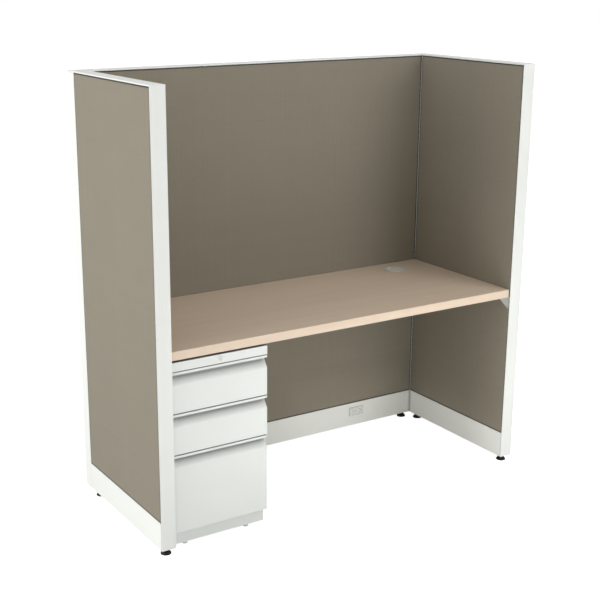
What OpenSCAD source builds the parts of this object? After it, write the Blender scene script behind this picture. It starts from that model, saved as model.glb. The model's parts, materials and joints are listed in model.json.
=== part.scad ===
// Cubicle workstation: three fabric panels round a worksurface with a drawer pedestal under it.
// Lengths are in millimetres. X runs along the back panel, the open side faces -Y,
// the floor is at z = 0 and the origin is at the middle of the footprint.

/* [Workstation] */
// Clear width between the two side panels
bay_w = 1524; // [1400:1:1829]
// Length of a side panel's frame, without corner post and end trim
wing_l = 610; // [600:1:762]
// Height from the floor to the top of the caps
overall_h = 1642; // [1350:1:1800]
// Thickness of every panel, and side of the square corner posts
panel_t = 57; // [54:1:66]

/* [Panels] */
// Height of the gap between the floor and the base covers
floor_gap = 25; // [20:1:32]
// Height of the base covers
cover_h = 106; // [98:1:120]
// Sheet thickness of the base covers
cover_wall = 1.5; // [1:0.1:2]
// Gap at each end of a base cover
cover_end_gap = 1; // [0.5:0.1:3]
// Visible side of the top cap
cap_h = 5; // [4:0.25:8]
// Sheet thickness of the top cap
cap_wall = 1.5; // [1:0.1:2]
// Thickness of a fabric tile
tile_t = 12; // [9:0.5:13]
// Width of the dark joint round each tile
reveal = 4.5; // [4:0.25:6]
// Space between the back of a tile and the frame
clip_gap = 2; // [1.5:0.25:3]
// Thickness of the front end trims
trim_t = 3; // [2:0.25:5]
// Wall of the corner posts
post_wall = 2; // [1.5:0.1:3]
// Corner radius of the posts
post_r = 3; // [2:0.25:5]

/* [Steel frame] */
// Wall of the frame tubes
frame_wall = 1.5; // [1:0.1:2.5]
// Width of the slotted standard at each end of a panel
standard_w = 12; // [11:0.5:16]
// Width of the upright beside it
stile_w = 25; // [22:0.5:40]
// Height of the rails
rail_h = 30; // [20:1:40]
// Centre height of the middle rail
mid_rail_z = 705; // [600:1:900]
// Width of a slot in the standards
slot_w = 2.5; // [2.4:0.1:2.8]
// Height of a slot
slot_h = 12.7; // [12.4:0.1:14]
// Distance from one slot to the next
slot_pitch = 25.4; // [20:0.2:32]
// Thickness of the base channel's plate
base_plate_t = 3; // [2:0.5:5]

/* [Levelling glides] */
// Diameter of a panel glide's pad
glide_d = 39; // [30:1:45]
// Diameter of a panel glide's stem
glide_stem_d = 10; // [8:0.5:12]
// Diameter of a pedestal glide's pad
ped_glide_d = 19; // [16:1:30]
// Diameter of a pedestal glide's stem
ped_stem_d = 8; // [6:0.5:10]
// Adjustment of a panel glide
glide_travel = 25; // [10:1:28]
// Adjustment of a pedestal glide
ped_glide_travel = 15; // [5:1:18]

/* [Worksurface] */
// Height of the worksurface's top
work_z = 751; // [700:1:800]
// Thickness of the worksurface
work_t = 32; // [25:0.5:40]
// Distance of its front edge behind the front of the end trims
work_setback = 7; // [5:0.5:40]
// Thickness of the front edge band
band_t = 2; // [1:0.25:4]
// Gap between the worksurface and the panels
work_gap = 2; // [1:0.25:4]
// Diameter of the cable grommet's hole
grommet_hole_d = 80; // [60:1:90]
// Distance of the grommet's centre from the right panel
grommet_side = 194; // [120:1:400]
// Distance of the grommet's centre from the back panel
grommet_back = 107; // [90:1:200]

/* [Pedestal] */
// Width of the pedestal
ped_w = 381; // [330:1:420]
// Space between the pedestal and the left panel
ped_gap = 3; // [1:0.5:6]
// Space between the pedestal and the back panel
ped_back_gap = 41.5; // [35:0.5:80]
// Height of the case's top
ped_top = 710; // [690:1:715]
// Height of the lower edge of the case
ped_base = 17; // [14:0.5:22]
// Distance of the pedestal's face behind the front of the end trims
ped_setback = 11.5; // [8:0.5:30]
// Sheet of the case
case_wall = 1.2; // [0.8:0.1:2]
// Sheet of the drawer bodies
drawer_wall = 1; // [0.8:0.1:1.5]
// Sheet of the drawer fronts
front_wall = 1.2; // [0.8:0.1:1.5]
// Height of the plain rail above the drawers
top_rail_h = 33; // [30:0.5:50]
// Height of a box drawer's front
box_front_h = 150; // [130:0.5:160]
// Gap between the fronts
front_gap = 3; // [1.5:0.25:4]
// Height of the toe space under the lowest front
toe_h = 57; // [50:1:80]
// Depth of the toe space
toe_recess = 28; // [27:1:60]
// Thickness of a drawer front
front_t = 24; // [23:0.5:26]
// Height of the lip along the top of a drawer front
lip_h = 9; // [6:0.5:12]
// Height of the finger recess under the lip
pull_h = 38; // [28:1:45]
// Depth of the finger recess
pull_d = 20; // [14:0.5:20]
// Space for a slide beside each drawer
slide_space = 12.7; // [12.4:0.1:14]
// Height of the slides
slide_h = 45; // [42:0.5:50]
// Space between the drawers and the back of the case, for the lock bar
rear_space = 30; // [28:1:60]
// Turn of the lock
lock_turn = 90; // [60:1:100]
// Travel of the lock bar
lock_throw = 10; // [8:0.25:10.5]

/* [Power] */
// Width of the receptacle
outlet_w = 72; // [66:1:80]
// Height of the receptacle
outlet_h = 36; // [30:1:42]
// Centre height of the receptacle
outlet_z = 91; // [84:0.5:96]
// Distance of the receptacle's centre from the right panel
outlet_side = 304; // [150:1:600]

/* [Hidden] */

$fn = 48;
corner_fn = 16;      // facets of a full circle where corners are small
over = 1;            // how far a cut runs past the face that it opens
seat = 0.3;          // clearance of a piece from the one that carries it
run_clear = 0.4;     // clearance between sliding pieces
shaft_clear = 0.1;   // radial clearance of a shaft in its bore
white = [0.91, 0.92, 0.89];
fabric_tone = [0.55, 0.52, 0.45];
steel_tone = [0.62, 0.63, 0.64];
frame_tone = [0.14, 0.14, 0.13];
bracket_tone = [0.60, 0.61, 0.59];
black_tone = [0.08, 0.08, 0.08];
maple_tone = [0.80, 0.69, 0.56];
band_tone = [0.89, 0.79, 0.67];
grommet_tone = [0.55, 0.56, 0.52];

// Places worked out from the driving sizes
side_x = bay_w / 2 + panel_t / 2;                    // centre plane of a side panel
total_d = trim_t + wing_l + panel_t;
front_y = -total_d / 2;                              // front face of the end trims
wing_front_y = front_y + trim_t;
wing_y = wing_front_y + wing_l / 2;                  // middle of a side panel
wing_rear_y = wing_front_y + wing_l;                 // also the back panel's inner face
back_y = wing_rear_y + panel_t / 2;                  // centre plane of the back panel

cover_top = floor_gap + cover_h;
tile_bottom = cover_top + reveal;
tile_top = overall_h - cap_h - reveal;
frame_d = panel_t - 2 * (tile_t + clip_gap);
base_z = floor_gap + cover_wall + cover_wall;        // underside of the base channel
base_lip_h = 12;
frame_top = overall_h - cap_wall - seat;
lower_rail_z = cover_top + rail_h / 2 + seat;
top_rail_z = frame_top - rail_h / 2;
insert_h = 20;
post_bottom = floor_gap;
post_top = overall_h - cap_h;

work_bottom = work_z - work_t;
work_front_y = front_y + work_setback;
work_back_y = wing_rear_y - work_gap;
work_w = bay_w - 2 * work_gap;
grommet_x = bay_w / 2 - grommet_side;
grommet_y = wing_rear_y - grommet_back;

ped_side_gap = 1;
ped_left = -bay_w / 2 + ped_gap;
ped_x = ped_left + ped_w / 2;
ped_face = front_y + ped_setback;
ped_rear = wing_rear_y - ped_back_gap;
case_front = ped_face + front_t + seat;
front_w = ped_w - 2 * ped_side_gap;
toe_z = ped_base + toe_h;
rail_bottom = ped_top - top_rail_h;
top_front_z = rail_bottom - front_gap - box_front_h;
middle_front_z = top_front_z - front_gap - box_front_h;
file_front_h = middle_front_z - front_gap - toe_z;
front_bottoms = [top_front_z, middle_front_z, toe_z];
front_heights = [box_front_h, box_front_h, file_front_h];

// A drawer body clears the finger recess above it and the front's lower edge below it
body_low_clear = 8;
body_top_drop = 31;
body_gap = 6;
function body_bottom(i) = front_bottoms[i] + body_low_clear;
function body_top(i) = front_bottoms[i] + front_heights[i] - body_top_drop;
body_w = ped_w - 2 * case_wall - 2 * slide_space;
body_front = case_front;
body_rear = ped_rear - rear_space;
slide_l = body_rear - body_front - body_gap;
slide_front = body_front + body_gap / 2;
function slide_z(i) = (body_bottom(i) + body_top(i)) / 2;

lock_z = ped_top - top_rail_h / 2;
lock_d = 13;
lock_collar_d = 18;
lock_proud = 1.5;
lock_body_l = 22;
rod_d = 6;
crank_r = lock_throw / (2 * sin(lock_turn / 2));
crank_t = 3;
crank_w = 9;
crank_pin_d = 5;
bar_t = 3;
bar_w = 16;
bar_head_w = 34;
bar_head_h = 14;
bar_rear = ped_rear - case_wall - seat;
bar_front = bar_rear - bar_t;

stem_clear = 0.3;

// A rectangle with rounded corners, centred on the origin
module rounded_rect(w, h, r) {
    square([w - 2 * r, h], center = true);
    square([w, h - 2 * r], center = true);
    for (x = [-1, 1], y = [-1, 1])
        translate([x * (w / 2 - r), y * (h / 2 - r)])
            circle(r = r);
}

// A cuboid between two corners
module block(low, high) {
    translate(low)
        cube(high - low);
}

// An outline drawn as [depth, height] and swept along X
module sweep_x(length) {
    rotate([90, 0, 90])
        linear_extrude(length, center = true)
            children();
}

// Places a panel's pieces: their own x runs along the panel and -y faces into the bay
module at_left() {
    translate([-side_x, wing_y, 0])
        rotate([0, 0, 90])
            children();
}
module at_back() {
    translate([0, back_y, 0])
        children();
}
module at_right() {
    translate([side_x, wing_y, 0])
        rotate([0, 0, -90])
            children();
}

// Panel frame

// A square tube with a threaded insert in its foot for the glide's stem
module upright() {
    low = base_z + base_plate_t;
    difference() {
        block([-stile_w / 2, -frame_d / 2, low], [stile_w / 2, frame_d / 2, frame_top]);
        block([-stile_w / 2 + frame_wall, -frame_d / 2 + frame_wall, low + insert_h],
              [stile_w / 2 - frame_wall, frame_d / 2 - frame_wall, frame_top + over]);
        translate([0, 0, low - over])
            cylinder(d = glide_stem_d + 2 * stem_clear, h = insert_h + 2 * over);
    }
}

// A shorter tube between two rails, in the middle of a long panel
module mullion(low, high) {
    difference() {
        block([-stile_w / 2, -frame_d / 2, low], [stile_w / 2, frame_d / 2, high]);
        block([-stile_w / 2 + frame_wall, -frame_d / 2 + frame_wall, low - over],
              [stile_w / 2 - frame_wall, frame_d / 2 - frame_wall, high + over]);
    }
}

module rail(length, z) {
    translate([0, 0, z])
        difference() {
            cube([length, frame_d, rail_h], center = true);
            cube([length + 2 * over, frame_d - 2 * frame_wall, rail_h - 2 * frame_wall], center = true);
        }
}

// Length between the uprights of a panel whose frame is l long
function inner_l(l) = l - 2 * (standard_w + stile_w);
function glide_at(l) = l / 2 - standard_w - stile_w / 2;

module base_channel(l) {
    difference() {
        union() {
            block([-l / 2, -frame_d / 2, base_z], [l / 2, frame_d / 2, base_z + base_plate_t]);
            for (y = [-1, 1])
                translate([0, y * (frame_d - base_plate_t) / 2, base_z + base_lip_h / 2])
                    cube([inner_l(l), base_plate_t, base_lip_h], center = true);
        }
        for (x = [-1, 1])
            translate([x * glide_at(l), 0, base_z - over])
                cylinder(d = glide_stem_d + 2 * stem_clear, h = base_plate_t + 2 * over);
    }
}

module upright_pair(l) {
    for (x = [-1, 1])
        translate([x * glide_at(l), 0, 0])
            upright();
}

module rail_set(l) {
    rail(inner_l(l), lower_rail_z);
    rail(inner_l(l), mid_rail_z);
    rail(inner_l(l), top_rail_z);
}

module panel_uprights() {
    color(frame_tone) {
        at_left() upright_pair(wing_l);
        at_right() upright_pair(wing_l);
        at_back() {
            upright_pair(bay_w);
            mullion(lower_rail_z + rail_h / 2, mid_rail_z - rail_h / 2);
            mullion(mid_rail_z + rail_h / 2, top_rail_z - rail_h / 2);
        }
    }
}
module panel_rails() {
    color(frame_tone) {
        at_left() rail_set(wing_l);
        at_back() rail_set(bay_w);
        at_right() rail_set(wing_l);
    }
}
module base_channels() {
    color(frame_tone) {
        at_left() base_channel(wing_l);
        at_back() base_channel(bay_w);
        at_right() base_channel(wing_l);
    }
}

// Slotted standards: channels that open to the panel's end, with a row of slots in each flange

standard_low = base_z + base_plate_t + seat;
standard_h = frame_top - standard_low;
slot_margin = 20;
slot_first = cover_top + slot_margin;
slot_count = floor((frame_top - slot_margin - slot_h - slot_first) / slot_pitch) + 1;

module slotted_standard() {
    difference() {
        rotate([90, 0, 0])
            linear_extrude(frame_d, center = true)
                difference() {
                    translate([-standard_w, standard_low])
                        square([standard_w - seat, standard_h]);
                    for (i = [0 : slot_count - 1])
                        translate([-reveal / 2 - slot_w / 2, slot_first + i * slot_pitch])
                            square([slot_w, slot_h]);
                }
        block([-standard_w + frame_wall, -frame_d / 2 + frame_wall, standard_low - over],
              [over, frame_d / 2 - frame_wall, frame_top + over]);
    }
}

module standard_pair(l) {
    for (side = [0, 1])
        mirror([side, 0, 0])
            translate([l / 2, 0, 0])
                slotted_standard();
}

module slotted_standards() {
    color(frame_tone) {
        at_left() standard_pair(wing_l);
        at_back() standard_pair(bay_w);
        at_right() standard_pair(wing_l);
    }
}

// Fabric tiles: a wrapped board with soft edges and six clips that bear on the frame

tile_r = 4;
tile_soft = 2;
clip_w = 30;
clip_h = 14;
clip_shares = [-0.42, 0, 0.42];

module tile(l) {
    w = l - 2 * reveal;
    h = tile_top - tile_bottom;
    translate([0, -frame_d / 2 - clip_gap, (tile_top + tile_bottom) / 2])
        rotate([90, 0, 0]) {
            hull() {
                linear_extrude(tile_t - tile_soft)
                    rounded_rect(w, h, tile_r, $fn = corner_fn);
                linear_extrude(tile_t)
                    rounded_rect(w - 2 * tile_soft, h - 2 * tile_soft, tile_r, $fn = corner_fn);
            }
            for (x = [-1, 1], share = clip_shares)
                translate([x * (inner_l(l) + stile_w) / 2, share * h, (seat - clip_gap) / 2])
                    cube([clip_w / 2, clip_h, clip_gap - seat], center = true);
        }
}

module turned() {
    rotate([0, 0, 180])
        children();
}

module left_outer_tile() { color(fabric_tone) at_left() turned() tile(wing_l); }
module left_inner_tile() { color(fabric_tone) at_left() tile(wing_l); }
module back_outer_tile() { color(fabric_tone) at_back() turned() tile(bay_w); }
module back_inner_tile() { color(fabric_tone) at_back() tile(bay_w); }
module right_outer_tile() { color(fabric_tone) at_right() turned() tile(wing_l); }
module right_inner_tile() { color(fabric_tone) at_right() tile(wing_l); }

// Top caps: rolled channels whose inner legs grip the frame

cap_leg_t = 1.2;
cap_leg_h = 16;
cap_r = 1.4;

module top_cap(l) {
    top = overall_h;
    sweep_x(l) {
        difference() {
            translate([0, top - cap_h / 2])
                rounded_rect(panel_t, cap_h, cap_r);
            translate([-panel_t / 2 + cap_wall, top - cap_h - over])
                square([panel_t - 2 * cap_wall, cap_h - cap_wall + over]);
        }
        for (side = [-1, 1])
            translate([side * (frame_d / 2 + seat + cap_leg_t / 2), top - cap_wall - cap_leg_h / 2])
                square([cap_leg_t, cap_leg_h], center = true);
    }
}

module left_top_cap() { color(white) at_left() top_cap(wing_l - 2 * seat); }
module back_top_cap() { color(white) at_back() top_cap(bay_w - 2 * seat); }
module right_top_cap() { color(white) at_right() top_cap(wing_l - 2 * seat); }

// Base covers: folded sheets whose returns reach in to the frame

cover_r = 2.5;
cover_reach = panel_t / 2 - frame_d / 2 - seat;

module base_cover_profile() {
    translate([-panel_t / 2, floor_gap])
        difference() {
            translate([cover_reach / 2, cover_h / 2])
                rounded_rect(cover_reach, cover_h, cover_r);
            translate([cover_wall, cover_wall])
                square([cover_reach, cover_h - 2 * cover_wall]);
        }
    for (z = [floor_gap, cover_top - cover_wall])
        translate([-panel_t / 2 + cover_reach - 2 * cover_r, z])
            square([2 * cover_r, cover_wall]);
}

module base_cover(l) {
    sweep_x(l - 2 * cover_end_gap)
        base_cover_profile();
}

module left_outer_base_cover() { color(white) at_left() turned() base_cover(wing_l); }
module left_inner_base_cover() { color(white) at_left() base_cover(wing_l); }
module back_outer_base_cover() { color(white) at_back() turned() base_cover(bay_w); }
module right_outer_base_cover() { color(white) at_right() turned() base_cover(wing_l); }
module right_inner_base_cover() { color(white) at_right() base_cover(wing_l); }

outlet_x = bay_w / 2 - outlet_side;
outlet_r = 3;
outlet_fit = 1.2;

module back_inner_base_cover() {
    color(white)
        difference() {
            at_back() base_cover(bay_w);
            translate([outlet_x, wing_rear_y + cover_wall / 2, outlet_z])
                cube([outlet_w + 2 * outlet_fit, cover_wall + 2 * over, outlet_h + 2 * outlet_fit],
                     center = true);
        }
}

// Corner posts, their caps and the blocks that draw the panels against them

connector_h = 60;
connector_low = 260;
connector_zs = [connector_low, overall_h - connector_low];
bolt_d = 8;
bolt_hole_d = 9;
bolt_head_d = 13;
bolt_head_h = 5;

// One bolt line for each panel that meets the post: left post shown, from its own centre
module bolt_lines(d, low, high) {
    for (z = connector_zs) {
        translate([low, 0, z])
            rotate([0, 90, 0])
                cylinder(d = d, h = high - low);
        translate([0, -low, z + bolt_head_d])
            rotate([90, 0, 0])
                cylinder(d = d, h = high - low);
    }
}

module corner_post() {
    difference() {
        translate([0, 0, post_bottom])
            linear_extrude(post_top - post_bottom)
                rounded_rect(panel_t, panel_t, post_r);
        translate([0, 0, post_bottom - over])
            linear_extrude(post_top - post_bottom + 2 * over)
                square(panel_t - 2 * post_wall, center = true);
        bolt_lines(bolt_hole_d, 0, panel_t);
    }
}

module at_left_corner() {
    translate([-side_x, back_y, 0])
        children();
}
module at_right_corner() {
    translate([side_x, back_y, 0])
        mirror([1, 0, 0])
            children();
}

module left_corner_post() { color(white) at_left_corner() corner_post(); }
module right_corner_post() { color(white) at_right_corner() corner_post(); }

cap_plug_h = 14;
cap_plug_wall = 2;

module post_cap() {
    plug = panel_t - 2 * post_wall - 2 * seat;
    translate([0, 0, post_top + seat])
        linear_extrude(cap_h - seat)
            rounded_rect(panel_t - 2 * seat, panel_t - 2 * seat, post_r);
    translate([0, 0, post_top - cap_plug_h])
        linear_extrude(cap_plug_h + cap_h / 2)
            difference() {
                square(plug, center = true);
                square(plug - 2 * cap_plug_wall, center = true);
            }
}

module corner_post_caps() {
    color(white) {
        at_left_corner() post_cap();
        at_right_corner() post_cap();
    }
}

// A block in the standard's channel, with a bolt through the post's wall
module connector(z) {
    depth = standard_w - frame_wall - 2 * seat;
    wide = frame_d - 2 * frame_wall - 2 * seat;
    translate([seat + depth / 2, 0, z])
        cube([depth, wide, connector_h], center = true);
    translate([-post_wall - seat, 0, z])
        rotate([0, 90, 0])
            cylinder(d = bolt_d, h = post_wall + 2 * seat + depth / 2);
    translate([-post_wall - seat - bolt_head_h, 0, z])
        rotate([0, 90, 0])
            cylinder(d = bolt_head_d, h = bolt_head_h);
}

module connector_set() {
    for (z = connector_zs) {
        translate([panel_t / 2, 0, 0])
            connector(z);
        translate([0, -panel_t / 2, 0])
            rotate([0, 0, -90])
                connector(z + bolt_head_d);
    }
}

module panel_connectors() {
    color(steel_tone) {
        at_left_corner() connector_set();
        at_right_corner() connector_set();
    }
}

// Front end trims: a flat bar with clips that push into the standard's channel

trim_clip_l = 8;
trim_clip_h = 40;
trim_clip_shares = [0.12, 0.3, 0.62, 0.93];
trim_clip_wall = 1.5;

module end_trim() {
    clip_w_out = frame_d - 2 * frame_wall - 2 * seat;
    translate([0, front_y + trim_t / 2, floor_gap])
        linear_extrude(overall_h - floor_gap)
            rounded_rect(panel_t, trim_t, trim_t / 2 - seat / 2);
    for (share = trim_clip_shares)
        difference() {
            translate([0, wing_front_y - trim_t / 2, share * overall_h])
                translate([0, (trim_clip_l + trim_t / 2) / 2, 0])
                    cube([clip_w_out, trim_clip_l + trim_t / 2, trim_clip_h], center = true);
            translate([0, wing_front_y + trim_clip_l, share * overall_h])
                cube([clip_w_out - 2 * trim_clip_wall, 2 * trim_clip_l, trim_clip_h + 2 * over], center = true);
        }
}

module front_end_trims() {
    color(white)
        for (x = [-side_x, side_x])
            translate([x, 0, 0])
                end_trim();
}

// Levelling glides: a domed pad, a neck and a stem that screws up into the frame

pad_foot_h = 3;
pad_h = 16;
pad_neck_d = 16;
ped_pad_h = 10;
ped_foot_h = 2;
ped_neck_d = 12;
hex_share = 1.2;     // width of the spanner's hexagon across its corners, to the neck
hex_h = 4;
stem_grip = 10;      // what stays in the frame's nut when a glide is screwed right out
ped_stem_grip = 5;
glide_plate_t = 3;
stem_h = base_z + base_plate_t + glide_travel + stem_grip;
ped_stem_h = ped_base + glide_plate_t + ped_glide_travel + ped_stem_grip;
glide_gap = 0.3;

module glide(d, foot_h, dome_h, neck_d, neck_top, stem_d, top) {
    cylinder(d = d, h = foot_h);
    translate([0, 0, foot_h])
        cylinder(d1 = d, d2 = neck_d, h = dome_h - foot_h);
    cylinder(d = neck_d, h = neck_top);
    translate([0, 0, dome_h])
        cylinder(d = hex_share * neck_d, h = hex_h, $fn = 6);
    cylinder(d = stem_d, h = top);
}

module panel_glide(x, y) {
    color(black_tone)
        translate([x, y, 0])
            glide(glide_d, pad_foot_h, pad_h, pad_neck_d, base_z - glide_gap, glide_stem_d, stem_h);
}

module left_front_glide() { panel_glide(-side_x, wing_y - glide_at(wing_l)); }
module left_rear_glide() { panel_glide(-side_x, wing_y + glide_at(wing_l)); }
module back_left_glide() { panel_glide(-glide_at(bay_w), back_y); }
module back_right_glide() { panel_glide(glide_at(bay_w), back_y); }
module right_rear_glide() { panel_glide(side_x, wing_y + glide_at(wing_l)); }
module right_front_glide() { panel_glide(side_x, wing_y - glide_at(wing_l)); }

// Worksurface, with the grommet's hole and a pilot hole for each screw

screw_d = 5;
screw_head_d = 10;
screw_head_h = 3;
screw_bite = 18;
bracket_blade_y = reveal + seat;
bracket_t = 2.5;
bracket_reach = 42;
bracket_flange_l = 34;
spacer_inset = 60;
pilot_clear = 0.1;

// Places of the bracket screws, from a bracket's own corner: x into the bay, y along the panel
bracket_screws = [
    [bracket_reach * 2 / 3, bracket_blade_y + bracket_flange_l / 3 + bracket_t],
    [bracket_reach / 3, bracket_blade_y + bracket_flange_l * 2 / 3 + bracket_t]];

function spacer_places() = [for (x = [-1, 1], y = [0, 1])
    [ped_x + x * (ped_w / 2 - spacer_inset),
     y == 0 ? case_front + spacer_inset : ped_rear - spacer_inset]];
function bracket_places() = concat(
    [for (p = bracket_screws) [bay_w / 2 - p[0], wing_front_y + p[1]]],
    [for (p = bracket_screws) [bay_w / 2 - p[0], wing_rear_y - p[1]]],
    [for (p = bracket_screws) [-bay_w / 2 + p[0], wing_rear_y - p[1]]]);

module worksurface() {
    color(maple_tone)
        difference() {
            block([-work_w / 2, work_front_y + band_t, work_bottom], [work_w / 2, work_back_y, work_z]);
            translate([grommet_x, grommet_y, work_bottom - over])
                cylinder(d = grommet_hole_d, h = work_t + 2 * over);
            for (p = concat(spacer_places(), bracket_places()))
                translate([p[0], p[1], work_bottom - over])
                    cylinder(d = screw_d + 2 * pilot_clear, h = screw_bite + 2 * over);
        }
}

band_r = 0.9;

module worksurface_edge_band() {
    color(band_tone)
        translate([0, work_front_y + band_t / 2, work_bottom + work_t / 2])
            sweep_x(work_w)
                difference() {
                    translate([band_t / 2, 0])
                        rounded_rect(2 * band_t, work_t, band_r);
                    translate([band_t / 2, -work_t])
                        square([2 * band_t, 2 * work_t]);
                }
}

// Cable grommet

flange_w = 4.5;
flange_d = grommet_hole_d + 2 * flange_w;
flange_h = 2.5;
flange_bevel = 0.8;
liner_wall = 2.5;
liner_l = 22;
cap_ledge_w = 2;
cable_slot_w = 22;
cable_slot_l = 18;
liner_bore_d = grommet_hole_d - 2 * seat - 2 * liner_wall;
turn_cap_h = 4;

module grommet_liner() {
    color(grommet_tone)
        translate([grommet_x, grommet_y, work_z])
            difference() {
                union() {
                    cylinder(d = flange_d, h = flange_h - flange_bevel);
                    translate([0, 0, flange_h - flange_bevel])
                        cylinder(d1 = flange_d, d2 = flange_d - 2 * flange_bevel, h = flange_bevel);
                    translate([0, 0, -liner_l])
                        cylinder(d = grommet_hole_d - 2 * seat, h = liner_l + over);
                }
                translate([0, 0, flange_h - turn_cap_h])
                    cylinder(d = liner_bore_d, h = turn_cap_h + over);
                translate([0, 0, -liner_l - over])
                    cylinder(d = liner_bore_d - 2 * cap_ledge_w, h = liner_l + 2 * over);
            }
}

module grommet_cap() {
    r = liner_bore_d / 2 - seat;
    color(grommet_tone)
        translate([grommet_x, grommet_y, work_z + flange_h - turn_cap_h + seat])
            difference() {
                cylinder(r = r, h = turn_cap_h - seat);
                translate([-cable_slot_w / 2, r - cable_slot_l, -over])
                    cube([cable_slot_w, cable_slot_l + over, turn_cap_h + 2 * over]);
            }
}

// Worksurface brackets: two hooks through the standard's slots, a bent plate, a gusset and a flange

hook_drop = 5;
hook_h = 7;
hook_t = 2;
hook_over = 5;
bracket_toe = 12;
flange_front = tile_t + clip_gap;
top_slot = floor((work_bottom - hook_h - 2 * seat - slot_first) / slot_pitch);
bracket_low = slot_first + (top_slot - 1) * slot_pitch + seat - bracket_toe;

module hook(z) {
    y = reveal / 2 - hook_t / 2;
    block([-bracket_t - seat, y, z + seat],
          [flange_front + frame_wall + hook_over, y + hook_t, z + seat + hook_h]);
    block([flange_front + frame_wall + seat, y, z + seat - hook_drop],
          [flange_front + frame_wall + hook_over, y + hook_t, z + seat + hook_h]);
}

// Own corner: x = 0 is the tile's face with -x in the bay, y = 0 is the panel's end
module bracket() {
    top = work_bottom - seat;
    face = -seat;
    difference() {
        union() {
            block([face - bracket_t, reveal / 2 - hook_t / 2, bracket_low],
                  [face, bracket_blade_y + bracket_t, top]);
            translate([0, bracket_blade_y + bracket_t, 0])
                rotate([90, 0, 0])
                    linear_extrude(bracket_t)
                        polygon([
                            [face, top],
                            [face - bracket_t - bracket_reach, top],
                            [face - bracket_t - bracket_reach, top - bracket_t],
                            [face - bracket_t, bracket_low],
                            [face, bracket_low]]);
            block([face - bracket_t - bracket_reach, bracket_blade_y, top - bracket_t],
                  [face, bracket_blade_y + bracket_t + bracket_flange_l, top]);
        }
        for (p = bracket_screws)
            translate([-p[0], p[1], top - bracket_t - over])
                cylinder(d = screw_d + 2 * stem_clear, h = bracket_t + 2 * over);
    }
    for (i = [0, 1])
        hook(slot_first + (top_slot - i) * slot_pitch);
}

module right_front_bracket() {
    color(bracket_tone)
        translate([bay_w / 2, wing_front_y, 0])
            bracket();
}
module right_rear_bracket() {
    color(bracket_tone)
        translate([bay_w / 2, wing_rear_y, 0])
            mirror([0, 1, 0])
                bracket();
}
module left_rear_bracket() {
    color(bracket_tone)
        translate([-bay_w / 2, wing_rear_y, 0])
            rotate([0, 0, 180])
                bracket();
}

// Screws: under the brackets' flanges and up through the pedestal's spacers
module screw(grip_top, grip) {
    translate([0, 0, grip_top - grip])
        cylinder(d = screw_d, h = grip + screw_bite);
    translate([0, 0, grip_top - grip - screw_head_h])
        cylinder(d = screw_head_d, h = screw_head_h);
}

module worksurface_screws() {
    color(steel_tone) {
        for (p = bracket_places())
            translate([p[0], p[1], 0])
                screw(work_bottom, bracket_t + 2 * seat);
        for (p = spacer_places())
            translate([p[0], p[1], 0])
                screw(work_bottom, work_bottom - ped_top + case_wall + seat);
    }
}

// Power: the receptacle plugs on to a block of the harness that lies in the base channel

outlet_proud = 1.5;
outlet_depth = 14;
face_w = 27;
face_h = 28;
face_cut = 0.8;
blade_w = 1.8;
blade_h = 7.5;
blade_gap = 6.4;
ground_d = 5;
ground_drop = 7.5;
socket_depth = 10;
outlet_pitch_share = 0.26;
harness_t = 20;
harness_h = 26;
harness_r = 6;
junction_w = 110;
junction_h = 50;
harness_end = 90;
foot_w = 20;
harness_foot_shares = [-0.45, -0.15, 0.15, 0.45];

// The three openings of one outlet, laid on its side, with y pointing out of its face
module outlet_slots() {
    for (z = [-1, 1])
        translate([0, 0, z * blade_gap])
            cube([blade_h, 2 * socket_depth, blade_w], center = true);
    translate([ground_drop, 0, 0])
        rotate([90, 0, 0])
            cylinder(d = ground_d, h = 2 * socket_depth, center = true);
}

module duplex_receptacle() {
    face = wing_rear_y - outlet_proud;
    color(white)
        translate([outlet_x, face, outlet_z])
            difference() {
                rotate([-90, 0, 0])
                    linear_extrude(outlet_depth)
                        rounded_rect(outlet_w, outlet_h, outlet_r);
                for (side = [-1, 1])
                    translate([side * outlet_pitch_share * outlet_w, 0, 0]) {
                        rotate([90, 0, 0])
                            linear_extrude(2 * face_cut, center = true)
                                difference() {
                                    rounded_rect(face_w + 2 * face_cut, face_h + 2 * face_cut, outlet_r);
                                    rounded_rect(face_w, face_h, outlet_r);
                                }
                        outlet_slots();
                    }
            }
}

// Two lengths of conduit in clips, with the junction block between them
module power_harness() {
    length = bay_w - 2 * harness_end;
    back = wing_rear_y - outlet_proud + outlet_depth + seat;
    foot_low = base_z + base_plate_t + seat;
    junction = [outlet_x - junction_w / 2, outlet_x + junction_w / 2];
    color(black_tone) {
        for (span = [[-length / 2, junction[0] - seat], [junction[1] + seat, length / 2]])
            translate([(span[0] + span[1]) / 2, back_y, outlet_z])
                sweep_x(span[1] - span[0])
                    rounded_rect(harness_t, harness_h, harness_r);
        block([junction[0], back, outlet_z - junction_h / 2],
              [junction[1], back_y + harness_t / 2 + seat, outlet_z + junction_h / 2]);
        for (share = harness_foot_shares)
            block([share * length - foot_w / 2, back_y - harness_t / 2, foot_low],
                  [share * length + foot_w / 2, back_y + harness_t / 2, outlet_z - harness_h / 2 - seat]);
    }
}

// Pedestal case: folded sheet, open at the front

toe_y = ped_face + toe_recess;
case_floor_drop = 14;
case_floor = toe_z - case_floor_drop;
ped_nut_d = 14;
ped_nut_h = 10;
ped_glide_inset = 24;
ped_glide_side = 63;
ped_glide_x = ped_w / 2 - ped_glide_side;
glide_bar_w = 2 * ped_glide_inset;
glide_bar_h = 12;
spacer_d = 20;
bearing_w = 26;
bearing_t = 3;
bearing_back = 30;
guide_wall = 1.5;
guide_h = 16;
guide_w = bar_w + 2 * (run_clear + guide_wall);
guide_shares = [0.5, 0.86];

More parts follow.
